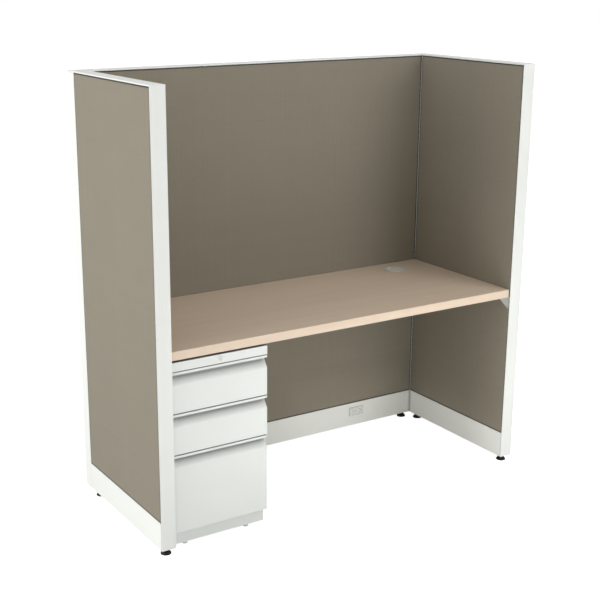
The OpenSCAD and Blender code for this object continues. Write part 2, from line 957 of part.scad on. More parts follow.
module case_sides() {
    for (x = [ped_left, ped_left + ped_w - case_wall])
        translate([x + case_wall / 2, 0, 0])
            sweep_x(case_wall)
                polygon([
                    [ped_face, ped_top], [ped_face, rail_bottom],
                    [case_front, rail_bottom], [case_front, toe_z],
                    [toe_y, toe_z], [toe_y, ped_base],
                    [ped_rear, ped_base], [ped_rear, ped_top]]);
}

function glide_places() = [for (x = [-1, 1], y = [0, 1])
    [ped_x + x * ped_glide_x,
     y == 0 ? toe_y + ped_glide_inset : ped_rear - ped_glide_inset]];

module lock_guides() {
    span = ped_rear - bar_front + run_clear;
    for (share = guide_shares)
        translate([ped_x, ped_rear - span / 2, toe_z + share * (rail_bottom - toe_z)])
            difference() {
                translate([0, -guide_wall / 2, 0])
                    cube([guide_w, span + guide_wall, guide_h], center = true);
                cube([bar_w + 2 * run_clear, span, guide_h + 2 * over], center = true);
            }
}

module pedestal_case() {
    left = ped_left;
    right = ped_left + ped_w;
    color(white)
        difference() {
            union() {
                case_sides();
                block([left, ped_face, ped_top - case_wall], [right, ped_rear, ped_top]);
                block([left, ped_face, rail_bottom], [right, ped_face + case_wall, ped_top]);
                block([left, ped_face, rail_bottom], [right, case_front, rail_bottom + case_wall]);
                block([left, ped_rear - case_wall, ped_base], [right, ped_rear, ped_top]);
                block([left, toe_y, case_floor], [right, ped_rear, case_floor + case_wall]);
                block([left, toe_y, ped_base], [right, toe_y + case_wall, case_floor + case_wall]);
                for (p = spacer_places())
                    translate([p[0], p[1], ped_top - case_wall])
                        cylinder(d = spacer_d, h = work_bottom - ped_top + case_wall - seat);
                for (y = [toe_y, ped_rear - glide_bar_w])
                    block([left, y, ped_base], [right, y + glide_bar_w, ped_base + glide_plate_t]);
                for (y = [toe_y + glide_bar_w - case_wall, ped_rear - glide_bar_w])
                    block([left, y, ped_base], [right, y + case_wall, ped_base + glide_bar_h]);
                for (p = glide_places())
                    translate([p[0], p[1], ped_base])
                        cylinder(d = ped_nut_d, h = glide_plate_t + ped_nut_h);
                translate([ped_x, ped_face - lock_proud, lock_z])
                    rotate([-90, 0, 0])
                        cylinder(d = lock_collar_d, h = lock_proud + case_wall);
                block([ped_x - bearing_w / 2, ped_rear - bearing_back - bearing_t, lock_z - rod_d - bearing_t],
                      [ped_x + bearing_w / 2, ped_rear - bearing_back, ped_top]);
                lock_guides();
            }
            for (p = spacer_places())
                translate([p[0], p[1], ped_top - case_wall - over])
                    cylinder(d = screw_d + 2 * stem_clear, h = work_bottom - ped_top + case_wall + 2 * over);
            for (p = glide_places())
                translate([p[0], p[1], ped_base - over])
                    cylinder(d = ped_stem_d + 2 * stem_clear, h = glide_plate_t + ped_nut_h + 2 * over);
            translate([ped_x, ped_face - lock_proud - over, lock_z])
                rotate([-90, 0, 0])
                    cylinder(d = lock_d + 2 * shaft_clear, h = lock_proud + case_wall + 2 * over);
            translate([ped_x, ped_rear - bearing_back - bearing_t - over, lock_z])
                rotate([-90, 0, 0])
                    cylinder(d = rod_d + 2 * shaft_clear, h = bearing_t + 2 * over);
        }
}

module ped_glide(i) {
    p = glide_places()[i];
    color(steel_tone)
        translate([p[0], p[1], 0])
            glide(ped_glide_d, ped_foot_h, ped_pad_h, ped_neck_d, ped_base - glide_gap,
                  ped_stem_d, ped_stem_h);
}
module pedestal_front_left_glide() { ped_glide(0); }
module pedestal_rear_left_glide() { ped_glide(1); }
module pedestal_front_right_glide() { ped_glide(2); }
module pedestal_rear_right_glide() { ped_glide(3); }

// Drawer fronts: a folded pan with a lip over a finger recess that curves and slopes back out to the face

slope_share = 0.72;  // the sloped part of the recess's height
bend_r = 8;
bend_steps = 4;
pull_slope = atan2(pull_d, slope_share * pull_h);
bend_z = -lip_h - (1 - slope_share) * pull_h + bend_r * tan(pull_slope / 2);

// The bend at the back of the recess, moved out into the pan by w
function pull_bend(w) = [for (i = [0 : bend_steps])
    let (angle = i * pull_slope / bend_steps)
    [pull_d - bend_r + (bend_r + w) * cos(angle), bend_z - (bend_r + w) * sin(angle)]];

// Outline of the front's outside, with y into the pedestal and z down from the top
module front_outside(h) {
    polygon(concat(
        [[front_t, 0], [0, 0], [0, -lip_h], [pull_d, -lip_h]],
        pull_bend(0),
        [[0, -lip_h - pull_h], [0, -h], [front_t, -h]]));
}

// The same outline drawn in by the sheet's thickness, and open at the back
module front_inside(h) {
    w = front_wall;
    polygon(concat(
        [[front_t + over, -w], [w, -w], [w, w - lip_h], [pull_d + w, w - lip_h]],
        pull_bend(w),
        [[w, -lip_h - pull_h - w * tan(pull_slope / 2)], [w, w - h], [front_t + over, w - h]]));
}

module drawer_front(i) {
    color(white)
        translate([ped_x, ped_face, front_bottoms[i] + front_heights[i]])
            difference() {
                sweep_x(front_w)
                    front_outside(front_heights[i]);
                sweep_x(front_w - 2 * front_wall)
                    front_inside(front_heights[i]);
            }
}

module top_drawer_front() { drawer_front(0); }
module middle_drawer_front() { drawer_front(1); }
module file_drawer_front() { drawer_front(2); }

// Drawer bodies: open boxes, the file drawer's sides folded in and up to carry hanging folders

folder_ledge = 20;
folder_lip_h = 9;

module drawer_body(i, ledges) {
    low = body_bottom(i);
    high = body_top(i);
    color(steel_tone)
        translate([ped_x, 0, 0]) {
            difference() {
                block([-body_w / 2, body_front, low], [body_w / 2, body_rear, high]);
                block([-body_w / 2 + drawer_wall, body_front + drawer_wall, low + drawer_wall],
                      [body_w / 2 - drawer_wall, body_rear - drawer_wall, high + over]);
            }
            if (ledges)
                for (side = [0, 1])
                    mirror([side, 0, 0]) {
                        block([body_w / 2 - folder_ledge, body_front, high - folder_lip_h],
                              [body_w / 2, body_rear, high - folder_lip_h + drawer_wall]);
                        block([body_w / 2 - folder_ledge, body_front, high - folder_lip_h],
                              [body_w / 2 - folder_ledge + drawer_wall, body_rear, high]);
                    }
        }
}

module top_drawer_body() { drawer_body(0, false); }
module middle_drawer_body() { drawer_body(1, false); }
module file_drawer_body() { drawer_body(2, true); }

// Telescopic slides: three nested rolled channels, drawn from the case's side towards the drawer

outer_t = 1.5;
inner_t = 1.2;
ball_gap = 0.6;
roll_r = 3;          // outer radius of a rolled corner
stop_gap = 0.5;
stop_h_share = 0.5;
mid_h = slide_h - 2 * (outer_t + ball_gap);
in_h = mid_h - 2 * (inner_t + ball_gap);
outer_lip_share = 0.76;
mid_web_share = 0.33;
mid_lip_share = 0.83;
in_lip_share = 0.5;

// A channel whose web stands at x = a and whose lips reach to x = b
module channel(a, b, h, t) {
    w = abs(b - a);
    long_w = w + 2 * roll_r;
    translate([a, 0])
        mirror([b > a ? 0 : 1, 0])
            difference() {
                translate([long_w / 2, 0])
                    rounded_rect(long_w, h, roll_r, $fn = corner_fn);
                translate([long_w / 2 + t, 0])
                    rounded_rect(long_w, h - 2 * t, roll_r - t, $fn = corner_fn);
                translate([w, -h])
                    square([long_w, 2 * h]);
            }
}

// Sweeps an outline along both slides of drawer i, between two distances from their front ends
module slide_pair(i, near, far) {
    for (side = [0, 1])
        translate([ped_x, slide_front, slide_z(i)])
            mirror([side, 0, 0])
                translate([-ped_w / 2 + case_wall, far, 0])
                    rotate([90, 0, 0])
                        linear_extrude(far - near)
                            children();
}

// The outer member runs on past the others to a tab that stops them
module outer_slides() {
    lip = outer_lip_share * slide_space;
    stop_at = slide_l + stop_gap;
    color(steel_tone)
        for (i = [0 : 2]) {
            slide_pair(i, 0, stop_at + outer_t)
                channel(seat, lip, slide_h, outer_t);
            slide_pair(i, stop_at, stop_at + outer_t)
                translate([seat + outer_t / 2, -stop_h_share * slide_h / 2])
                    square([lip - seat - outer_t / 2, stop_h_share * slide_h]);
        }
}
module middle_slides(i) {
    color(steel_tone)
        slide_pair(i, 0, slide_l)
            channel(mid_web_share * slide_space, mid_lip_share * slide_space, mid_h, inner_t);
}
module inner_slides(i) {
    color(steel_tone)
        slide_pair(i, 0, slide_l)
            channel(slide_space - seat, in_lip_share * slide_space, in_h, inner_t);
}
module top_middle_slides() { middle_slides(0); }
module middle_middle_slides() { middle_slides(1); }
module file_middle_slides() { middle_slides(2); }
module top_inner_slides() { inner_slides(0); }
module middle_inner_slides() { inner_slides(1); }
module file_inner_slides() { inner_slides(2); }

// Lock: the plug turns a long rod, whose crank pin lifts and drops the lock bar

key_w = 1.6;
key_h = 8;
key_depth = 6;
plug_proud = 0.5;
crank_gap = 0.5;
crank_rear = bar_front - crank_gap;
crank_x = crank_r * cos(lock_turn / 2);
crank_rise = crank_r * sin(lock_turn / 2);

module lock_plug() {
    face = ped_face - lock_proud - plug_proud;
    color(steel_tone)
        translate([ped_x, 0, lock_z]) {
            difference() {
                translate([0, face, 0])
                    rotate([-90, 0, 0])
                        cylinder(d = lock_d, h = lock_body_l);
                translate([0, face, 0])
                    cube([key_w, 2 * key_depth, key_h], center = true);
            }
            translate([0, face + lock_body_l - over, 0])
                rotate([-90, 0, 0])
                    cylinder(d = rod_d, h = crank_rear - face - lock_body_l + over);
            for (p = [[0, 0], [crank_x, crank_rise]])
                translate([p[0], crank_rear - crank_t, p[1]])
                    rotate([-90, 0, 0])
                        cylinder(d = crank_w, h = crank_t);
            rotate([0, -lock_turn / 2, 0])
                block([0, crank_rear - crank_t, -crank_w / 2], [crank_r, crank_rear, crank_w / 2]);
            translate([crank_x, crank_rear - crank_t, crank_rise])
                rotate([-90, 0, 0])
                    cylinder(d = crank_pin_d, h = crank_t + crank_gap + bar_t);
        }
}

hook_over_wall = 3;
tip_h = 10;
tip_t = 3;
tip_clear = 1.5;

module lock_bar() {
    wall_in = body_rear - drawer_wall;
    head_z = lock_z + crank_rise;
    slot_l = crank_r - crank_x + crank_pin_d + 2 * (run_clear + crank_gap);
    slot_x = (crank_r + crank_x) / 2;
    color(steel_tone)
        translate([ped_x, 0, 0]) {
            block([-bar_w / 2, bar_front, body_top(2)], [bar_w / 2, bar_rear, head_z - bar_head_h / 2]);
            difference() {
                translate([0, (bar_front + bar_rear) / 2, head_z])
                    cube([bar_head_w, bar_t, bar_head_h], center = true);
                translate([slot_x, (bar_front + bar_rear) / 2, head_z])
                    cube([slot_l, bar_t + 2 * over, crank_pin_d + 2 * run_clear], center = true);
            }
            for (i = [0 : 2]) {
                arm = body_top(i) + hook_over_wall + tip_h;
                block([-bar_w / 2, wall_in - tip_clear - tip_t, arm], [bar_w / 2, bar_rear, arm + bar_t]);
                block([-bar_w / 2, wall_in - tip_clear - tip_t, arm - tip_h],
                      [bar_w / 2, wall_in - tip_clear, arm + bar_t]);
            }
        }
}

panel_uprights();
panel_rails();
base_channels();
slotted_standards();
left_outer_tile();
left_inner_tile();
back_outer_tile();
back_inner_tile();
right_outer_tile();
right_inner_tile();
left_top_cap();
back_top_cap();
right_top_cap();
left_outer_base_cover();
left_inner_base_cover();
back_outer_base_cover();
back_inner_base_cover();
right_outer_base_cover();
right_inner_base_cover();
left_corner_post();
right_corner_post();
corner_post_caps();
front_end_trims();
panel_connectors();
left_front_glide();
left_rear_glide();
back_left_glide();
back_right_glide();
right_rear_glide();
right_front_glide();
worksurface();
worksurface_edge_band();
grommet_liner();
grommet_cap();
right_front_bracket();
right_rear_bracket();
left_rear_bracket();
worksurface_screws();
duplex_receptacle();
power_harness();
pedestal_case();
top_drawer_front();
middle_drawer_front();
file_drawer_front();
top_drawer_body();
middle_drawer_body();
file_drawer_body();
outer_slides();
top_middle_slides();
middle_middle_slides();
file_middle_slides();
top_inner_slides();
middle_inner_slides();
file_inner_slides();
lock_plug();
lock_bar();
pedestal_front_left_glide();
pedestal_front_right_glide();
pedestal_rear_left_glide();
pedestal_rear_right_glide();
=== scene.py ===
# Looks for the cubicle workstation: camera, studio light, finishes and the pieces made in Blender.
# Lengths are in metres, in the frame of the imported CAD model.
import json
import math

import bmesh
import bpy
from mathutils import Matrix, Vector


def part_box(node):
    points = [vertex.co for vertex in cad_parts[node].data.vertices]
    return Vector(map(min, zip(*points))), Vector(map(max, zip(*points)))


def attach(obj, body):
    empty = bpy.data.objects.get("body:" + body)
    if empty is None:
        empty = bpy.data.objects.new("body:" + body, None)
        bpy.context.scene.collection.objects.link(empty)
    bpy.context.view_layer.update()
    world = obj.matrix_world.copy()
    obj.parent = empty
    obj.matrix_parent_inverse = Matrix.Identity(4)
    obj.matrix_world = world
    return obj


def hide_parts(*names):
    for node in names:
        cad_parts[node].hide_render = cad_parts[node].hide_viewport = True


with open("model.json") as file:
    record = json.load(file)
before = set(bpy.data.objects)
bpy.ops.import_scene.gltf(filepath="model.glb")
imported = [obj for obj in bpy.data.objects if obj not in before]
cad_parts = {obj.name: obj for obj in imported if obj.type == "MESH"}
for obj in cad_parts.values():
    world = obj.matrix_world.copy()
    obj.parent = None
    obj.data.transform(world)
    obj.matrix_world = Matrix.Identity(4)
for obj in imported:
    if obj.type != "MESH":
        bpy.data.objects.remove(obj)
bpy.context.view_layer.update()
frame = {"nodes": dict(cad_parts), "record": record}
cadNodes = frame["nodes"]
mm = 0.001
print("frame loaded:", len(cadNodes), "nodes")


# Camera, from the photograph's straight edges

cameraView = {
    "place": (-2.4302, -3.6555, 1.9925),
    "turnDegrees": (73.6510, 0.0406, -31.4138),
    "lens": 69.685,
    "sensor": 36,
    "shift": (0.0617, 0.0147),
}


def makeCamera(view):
    data = bpy.data.cameras.new("photoCamera")
    data.lens = view["lens"]
    data.sensor_width = view["sensor"]
    data.shift_x, data.shift_y = view["shift"]
    camera = bpy.data.objects.new("photoCamera", data)
    camera.location = view["place"]
    camera.rotation_euler = [math.radians(angle) for angle in view["turnDegrees"]]
    bpy.context.scene.collection.objects.link(camera)
    bpy.context.scene.camera = camera
    bpy.context.scene.view_settings.view_transform = "Standard"


makeCamera(cameraView)


# Light: a soft room of pale light with broad lamps, and a white floor

studio = {
    "roomColor": (1.0, 1.0, 1.0),
    "roomStrength": 0.49,
    "lamps": {
        "rightSoftbox": {"place": (2.6, -5.5, 2.4), "aim": (0.0, 0.0, 0.9), "size": 2.4, "watts": 63,
                         "spread": 180},
        "rightUpper": {"place": (2.2, -3.4, 4.2), "aim": (0.0, 0.0, 0.7), "size": 2.6, "watts": 36,
                       "spread": 180},
        "leftSoftbox": {"place": (-5.5, -0.2, 1.5), "aim": (0.0, 0.0, 0.8), "size": 2.2, "watts": 115,
                        "spread": 180},
        "leftUpper": {"place": (-4.4, -0.6, 3.6), "aim": (0.0, 0.0, 0.8), "size": 2.2, "watts": 28,
                      "spread": 180},
        "floorFillLeft": {"place": (-0.55, -1.75, 0.5), "aim": (-0.55, -1.75, 0.0), "size": 1.0, "watts": 2.5,
                          "spread": 100},
        "floorFill": {"place": (0.3, -1.2, 0.6), "aim": (0.3, -1.2, 0.0), "size": 0.85, "watts": 9,
                      "spread": 110},
        "kneeFill": {"place": (0.4, -0.05, 0.3), "aim": (0.4, -0.05, 0.0), "size": 0.6, "watts": 0.5,
                     "spread": 120},
    },
    "floorSize": 60,
    "floorColor": (0.85, 0.85, 0.85),
    "floorRoughness": 0.9,
    "floorGlow": 0.84,
}


def makeLamp(name, lamp):
    data = bpy.data.lights.new(name, "AREA")
    data.size = lamp["size"]
    data.energy = lamp["watts"]
    data.spread = math.radians(lamp["spread"])
    lampObject = bpy.data.objects.new(name, data)
    lampObject.location = lamp["place"]
    lampObject.visible_camera = False
    aim = Vector(lamp["aim"]) - Vector(lamp["place"])
    lampObject.rotation_euler = aim.to_track_quat("-Z", "Y").to_euler()
    bpy.context.scene.collection.objects.link(lampObject)


def connect(tree, kind, links=None, **settings):
    # Adds a node, sets its properties and joins or sets the inputs named in links
    node = tree.nodes.new(kind)
    for key, value in settings.items():
        setattr(node, key, value)
    for key, value in (links or {}).items():
        if isinstance(value, bpy.types.NodeSocket):
            tree.links.new(value, node.inputs[key])
        else:
            node.inputs[key].default_value = value
    return node


def makeRoom(look):
    world = bpy.data.worlds.new("studioRoom")
    bpy.context.scene.world = world
    world.use_nodes = True
    tree = world.node_tree
    tree.nodes.clear()
    # the camera, reflections and glass see plain white; only the soft light is dimmer
    path = connect(tree, "ShaderNodeLightPath")
    seen = connect(tree, "ShaderNodeMath", {
        0: path.outputs["Is Camera Ray"], 1: path.outputs["Is Glossy Ray"]}, operation="MAXIMUM")
    seen = connect(tree, "ShaderNodeMath", {
        0: seen.outputs[0], 1: path.outputs["Is Transmission Ray"]}, operation="MAXIMUM")
    room = connect(tree, "ShaderNodeBackground", {"Color": (*look["roomColor"], 1),
                                                  "Strength": look["roomStrength"]})
    white = connect(tree, "ShaderNodeBackground", {"Color": (1, 1, 1, 1), "Strength": 1.0})
    mix = connect(tree, "ShaderNodeMixShader", {0: seen.outputs[0], 1: room.outputs[0], 2: white.outputs[0]})
    connect(tree, "ShaderNodeOutputWorld", {"Surface": mix.outputs[0]})


def makeFloor(look):
    half = look["floorSize"] / 2
    mesh = bpy.data.meshes.new("studioFloor")
    corners = [(-half, -half, 0), (half, -half, 0), (half, half, 0), (-half, half, 0)]
    mesh.from_pydata(corners, [], [(0, 1, 2, 3)])
    floor = bpy.data.objects.new("studioFloor", mesh)
    bpy.context.scene.collection.objects.link(floor)
    material = bpy.data.materials.new("whiteFloor")
    material.use_nodes = True
    tree = material.node_tree
    tree.nodes.clear()
    path = connect(tree, "ShaderNodeLightPath")
    glow = connect(tree, "ShaderNodeMath", {0: path.outputs["Is Camera Ray"], 1: look["floorGlow"]},
                   operation="MULTIPLY")
    shader = connect(tree, "ShaderNodeBsdfPrincipled", {
        "Base Color": (*look["floorColor"], 1), "Roughness": look["floorRoughness"],
        "Specular IOR Level": 0.0, "Emission Color": (1, 1, 1, 1), "Emission Strength": glow.outputs[0]})
    connect(tree, "ShaderNodeOutputMaterial", {"Surface": shader.outputs[0]})
    mesh.materials.append(material)


makeRoom(studio)
for lampName, lampLook in studio["lamps"].items():
    makeLamp(lampName, lampLook)
makeFloor(studio)
print("camera and studio made")


# Shader effects that several finishes share

def effectGroup(name, inputs, outputs):
    group = bpy.data.node_groups.new(name, "ShaderNodeTree")
    for label, kind, value in inputs:
        socket = group.interface.new_socket(name=label, in_out="INPUT", socket_type=kind)
        if value is not None:
            socket.default_value = value
    for label, kind in outputs:
        group.interface.new_socket(name=label, in_out="OUTPUT", socket_type=kind)
    return group, group.nodes.new("NodeGroupInput"), group.nodes.new("NodeGroupOutput")


def mathNode(tree, operation, first, second=None, third=None, clamp=False):
    links = {0: first}
    if second is not None:
        links[1] = second
    if third is not None:
        links[2] = third
    return connect(tree, "ShaderNodeMath", links, operation=operation, use_clamp=clamp).outputs[0]


def blendColors(tree, factor, first, second):
    mix = connect(tree, "ShaderNodeMix", {0: factor, 6: first, 7: second}, data_type="RGBA")
    return mix.outputs[2]


def scaleColor(tree, color, factor):
    return connect(tree, "ShaderNodeVectorMath", {0: color, "Scale": factor}, operation="SCALE").outputs[0]


def noise(tree, vector, scale, detail, roughness=0.5, wander=0.0, dimensions="3D"):
    links = {"Vector": vector, "Scale": scale, "Detail": detail, "Roughness": roughness, "Distortion": wander}
    return connect(tree, "ShaderNodeTexNoise", links, noise_dimensions=dimensions).outputs[0]


def spread(tree, value, low, high):
    # A 0 to 1 value spread between two numbers
    node = connect(tree, "ShaderNodeMapRange", {"Value": value, "To Min": low, "To Max": high})
    return node.outputs[0]


def makeWeave():
    # Plain weave seen square on: u runs along the panel and v up it
    tree, given, result = effectGroup("plainWeave", [
        ("Vector", "NodeSocketVector", None),
        ("Thread Width", "NodeSocketFloat", 0.001),
        ("Warp Color", "NodeSocketColor", (0.4, 0.35, 0.3, 1)),
        ("Weft Color", "NodeSocketColor", (0.4, 0.35, 0.3, 1)),
        ("Thread Variation", "NodeSocketFloat", 0.2),
        ("Slub", "NodeSocketFloat", 0.2),
    ], [("Color", "NodeSocketColor"), ("Height", "NodeSocketFloat"), ("Mottle", "NodeSocketFloat")])
    crossing = 0.18  # width of the change from one thread to the other
    threadRound = 0.6
    weftSeed = 517.3
    slubStretch = 0.045
    # painted shade in the valleys between threads and painted light on their crests
    valleyShade, crestLight = 0.74, 0.42
    mottleScale = 7.0
    split = connect(tree, "ShaderNodeSeparateXYZ", {0: given.outputs["Vector"]})
    u = mathNode(tree, "DIVIDE", split.outputs[0], given.outputs["Thread Width"])
    v = mathNode(tree, "DIVIDE", split.outputs[1], given.outputs["Thread Width"])
    waveU = mathNode(tree, "SINE", mathNode(tree, "MULTIPLY", u, math.pi))
    waveV = mathNode(tree, "SINE", mathNode(tree, "MULTIPLY", v, math.pi))
    over = connect(tree, "ShaderNodeMapRange", {
        "Value": mathNode(tree, "MULTIPLY", waveU, waveV), "From Min": -crossing, "From Max": crossing},
        interpolation_type="SMOOTHSTEP").outputs[0]
    roundU = mathNode(tree, "ABSOLUTE", waveU)
    roundV = mathNode(tree, "ABSOLUTE", waveV)
    warpTop = mathNode(tree, "MULTIPLY", mathNode(tree, "POWER", roundU, threadRound),
                       mathNode(tree, "MULTIPLY_ADD", roundV, 0.5, 0.5))
    weftTop = mathNode(tree, "MULTIPLY", mathNode(tree, "POWER", roundV, threadRound),
                       mathNode(tree, "MULTIPLY_ADD", roundU, 0.5, 0.5))
    height = connect(tree, "ShaderNodeMix", {0: over, 2: weftTop, 3: warpTop}).outputs[0]
    warpCount = mathNode(tree, "FLOOR", u)
    weftCount = mathNode(tree, "ADD", mathNode(tree, "FLOOR", v), weftSeed)
    warpId = connect(tree, "ShaderNodeTexWhiteNoise", {"W": warpCount}, noise_dimensions="1D")
    weftId = connect(tree, "ShaderNodeTexWhiteNoise", {"W": weftCount}, noise_dimensions="1D")
    change = given.outputs["Thread Variation"]
    half = mathNode(tree, "SUBTRACT", 1.0, mathNode(tree, "MULTIPLY", change, 0.5))
    warpTone = mathNode(tree, "MULTIPLY_ADD", warpId.outputs[0], change, half)
    weftTone = mathNode(tree, "MULTIPLY_ADD", weftId.outputs[0], change, half)
    # slubs: thicker, paler stretches along each thread
    alongWarp = connect(tree, "ShaderNodeCombineXYZ", {0: u, 1: mathNode(tree, "MULTIPLY", v, slubStretch)})
    alongWeft = connect(tree, "ShaderNodeCombineXYZ", {0: mathNode(tree, "MULTIPLY", u, slubStretch), 1: v})
    slubWarp = noise(tree, alongWarp.outputs[0], 1.0, detail=2.0, dimensions="2D")
    slubWeft = noise(tree, alongWeft.outputs[0], 1.0, detail=2.0, dimensions="2D")
    slub = given.outputs["Slub"]
    slubHalf = mathNode(tree, "SUBTRACT", 1.0, mathNode(tree, "MULTIPLY", slub, 0.5))
    warpTone = mathNode(tree, "MULTIPLY", warpTone, mathNode(tree, "MULTIPLY_ADD", slubWarp, slub, slubHalf))
    weftTone = mathNode(tree, "MULTIPLY", weftTone, mathNode(tree, "MULTIPLY_ADD", slubWeft, slub, slubHalf))
    color = blendColors(tree, over, scaleColor(tree, given.outputs["Weft Color"], weftTone),
                        scaleColor(tree, given.outputs["Warp Color"], warpTone))
    # painted shade and light: colour darker in the thread valleys, lighter on the crests, by relief height
    color = scaleColor(tree, color, mathNode(tree, "MULTIPLY_ADD", height, crestLight, valleyShade))
    mottle = noise(tree, given.outputs["Vector"], mottleScale, detail=3.0)
    tree.links.new(color, result.inputs["Color"])
    tree.links.new(height, result.inputs["Height"])
    tree.links.new(mottle, result.inputs["Mottle"])
    return tree


def makeCoatTexture():
    # Orange peel of a powder coat or the spark texture of a mould, with a slow drift in tone
    tree, given, result = effectGroup("coatTexture", [
        ("Vector", "NodeSocketVector", None),
        ("Base Color", "NodeSocketColor", (0.8, 0.8, 0.8, 1)),
        ("Grain Size", "NodeSocketFloat", 0.001),
        ("Tone Shift", "NodeSocketFloat", 0.03),
        ("Roughness", "NodeSocketFloat", 0.4),
        ("Roughness Shift", "NodeSocketFloat", 0.1),
    ], [("Color", "NodeSocketColor"), ("Roughness", "NodeSocketFloat"), ("Height", "NodeSocketFloat")])
    driftScale, handledScale = 2.3, 11.0
    scale = mathNode(tree, "DIVIDE", 1.0, given.outputs["Grain Size"])
    peel = noise(tree, given.outputs["Vector"], scale, detail=2.0, roughness=0.45)
    drift = noise(tree, given.outputs["Vector"], driftScale, detail=3.0)
    handled = noise(tree, given.outputs["Vector"], handledScale, detail=4.0, roughness=0.6)
    tone = mathNode(tree, "MULTIPLY_ADD", mathNode(tree, "SUBTRACT", drift, 0.5),
                    given.outputs["Tone Shift"], 1.0)
    rough = mathNode(tree, "MULTIPLY_ADD", mathNode(tree, "SUBTRACT", handled, 0.5),
                     given.outputs["Roughness Shift"], given.outputs["Roughness"], clamp=True)
    tree.links.new(scaleColor(tree, given.outputs["Base Color"], tone), result.inputs["Color"])
    tree.links.new(rough, result.inputs["Roughness"])
    tree.links.new(peel, result.inputs["Height"])
    return tree


def makeCornerShade(name, ownFolds):
    # Painted shade: darkens a coat where ambient occlusion finds nearby surfaces, in narrow joints, or, with
    # ownFolds, only in the folds of the piece itself
    tree, given, result = effectGroup(name, [
        ("Color", "NodeSocketColor", (0.8, 0.8, 0.8, 1)),
        ("Strength", "NodeSocketFloat", 0.5),
        ("Reach", "NodeSocketFloat", 0.03),
    ], [("Color", "NodeSocketColor")])
    shelter = connect(tree, "ShaderNodeAmbientOcclusion", {"Distance": given.outputs["Reach"]},
                      only_local=ownFolds, samples=8)
    dust = mathNode(tree, "MULTIPLY", mathNode(tree, "SUBTRACT", 1.0, shelter.outputs["AO"]),
                    given.outputs["Strength"])
    tree.links.new(scaleColor(tree, given.outputs["Color"], mathNode(tree, "SUBTRACT", 1.0, dust)),
                   result.inputs["Color"])
    return tree


def makeWoodGrain():
    # Fine straight grain along X: broad figure, narrow lines and short pores
    tree, given, result = effectGroup("straightGrain", [
        ("Vector", "NodeSocketVector", None),
        ("Pale Color", "NodeSocketColor", (0.8, 0.7, 0.6, 1)),
        ("Dark Color", "NodeSocketColor", (0.6, 0.5, 0.4, 1)),
        ("Figure", "NodeSocketFloat", 0.5),
        ("Pores", "NodeSocketFloat", 0.3),
    ], [("Color", "NodeSocketColor"), ("Height", "NodeSocketFloat")])

    def streaks(low, high, along, across, detail, roughness=0.5, wander=0.0):
        # the same streak texture stretched by different amounts, as a mask from low to high
        mapping = connect(tree, "ShaderNodeMapping", {"Vector": given.outputs["Vector"],
                                                      "Scale": (along, across, across)})
        texture = noise(tree, mapping.outputs[0], 1.0, detail, roughness, wander)
        return connect(tree, "ShaderNodeMapRange", {"Value": texture, "From Min": low,
                                                    "From Max": high}).outputs[0]

    lineShare, poreShare = 0.45, 0.7
    figure = streaks(0.3, 0.7, along=0.8, across=14.0, detail=3.0, roughness=0.55, wander=0.35)
    lines = streaks(0.35, 0.65, along=3.0, across=160.0, detail=4.0, roughness=0.6)
    pores = streaks(0.6, 0.74, along=34.0, across=1100.0, detail=1.0)
    dark = mathNode(tree, "MULTIPLY", mathNode(tree, "MULTIPLY_ADD", lines, lineShare,
                                               mathNode(tree, "MULTIPLY", figure, 1 - lineShare)),
                    given.outputs["Figure"])
    dark = mathNode(tree, "MULTIPLY_ADD", pores, given.outputs["Pores"], dark, clamp=True)
    tree.links.new(blendColors(tree, dark, given.outputs["Pale Color"], given.outputs["Dark Color"]),
                   result.inputs["Color"])
    lineRelief = mathNode(tree, "MULTIPLY", lines, 1 - poreShare)
    relief = mathNode(tree, "MULTIPLY_ADD", pores, poreShare, lineRelief)
    tree.links.new(mathNode(tree, "SUBTRACT", 1.0, relief), result.inputs["Height"])
    return tree


def makeMetalSurface():
    # Plated or polished metal: spangle, drawing lines and smears
    tree, given, result = effectGroup("metalSurface", [
        ("Vector", "NodeSocketVector", None),
        ("Base Color", "NodeSocketColor", (0.6, 0.6, 0.6, 1)),
        ("Spangle", "NodeSocketFloat", 0.1),
        ("Roughness", "NodeSocketFloat", 0.35),
        ("Roughness Shift", "NodeSocketFloat", 0.15),
    ], [("Color", "NodeSocketColor"), ("Roughness", "NodeSocketFloat"), ("Height", "NodeSocketFloat")])
    spangleScale, smearScale, fineScale = 140.0, 18.0, 900.0
    cells = connect(tree, "ShaderNodeTexVoronoi", {"Vector": given.outputs["Vector"], "Scale": spangleScale})
    smear = noise(tree, given.outputs["Vector"], smearScale, detail=4.0)
    fine = noise(tree, given.outputs["Vector"], fineScale, detail=1.0)
    flake = connect(tree, "ShaderNodeSeparateColor", {0: cells.outputs["Color"]})
    tone = mathNode(tree, "MULTIPLY_ADD", mathNode(tree, "SUBTRACT", flake.outputs[0], 0.5),
                    given.outputs["Spangle"], 1.0)
    rough = mathNode(tree, "MULTIPLY_ADD", mathNode(tree, "SUBTRACT", smear, 0.5),
                     given.outputs["Roughness Shift"], given.outputs["Roughness"], clamp=True)
    tree.links.new(scaleColor(tree, given.outputs["Base Color"], tone), result.inputs["Color"])
    tree.links.new(rough, result.inputs["Roughness"])
    tree.links.new(fine, result.inputs["Height"])
    return tree


weave = makeWeave()
coatTexture = makeCoatTexture()
# painted shade from ambient occlusion: in a piece's own folds, and in joints between pieces
foldDust = makeCornerShade("foldDust", True)
jointDust = makeCornerShade("jointDust", False)
woodGrain = makeWoodGrain()
metalSurface = makeMetalSurface()


# Finishes

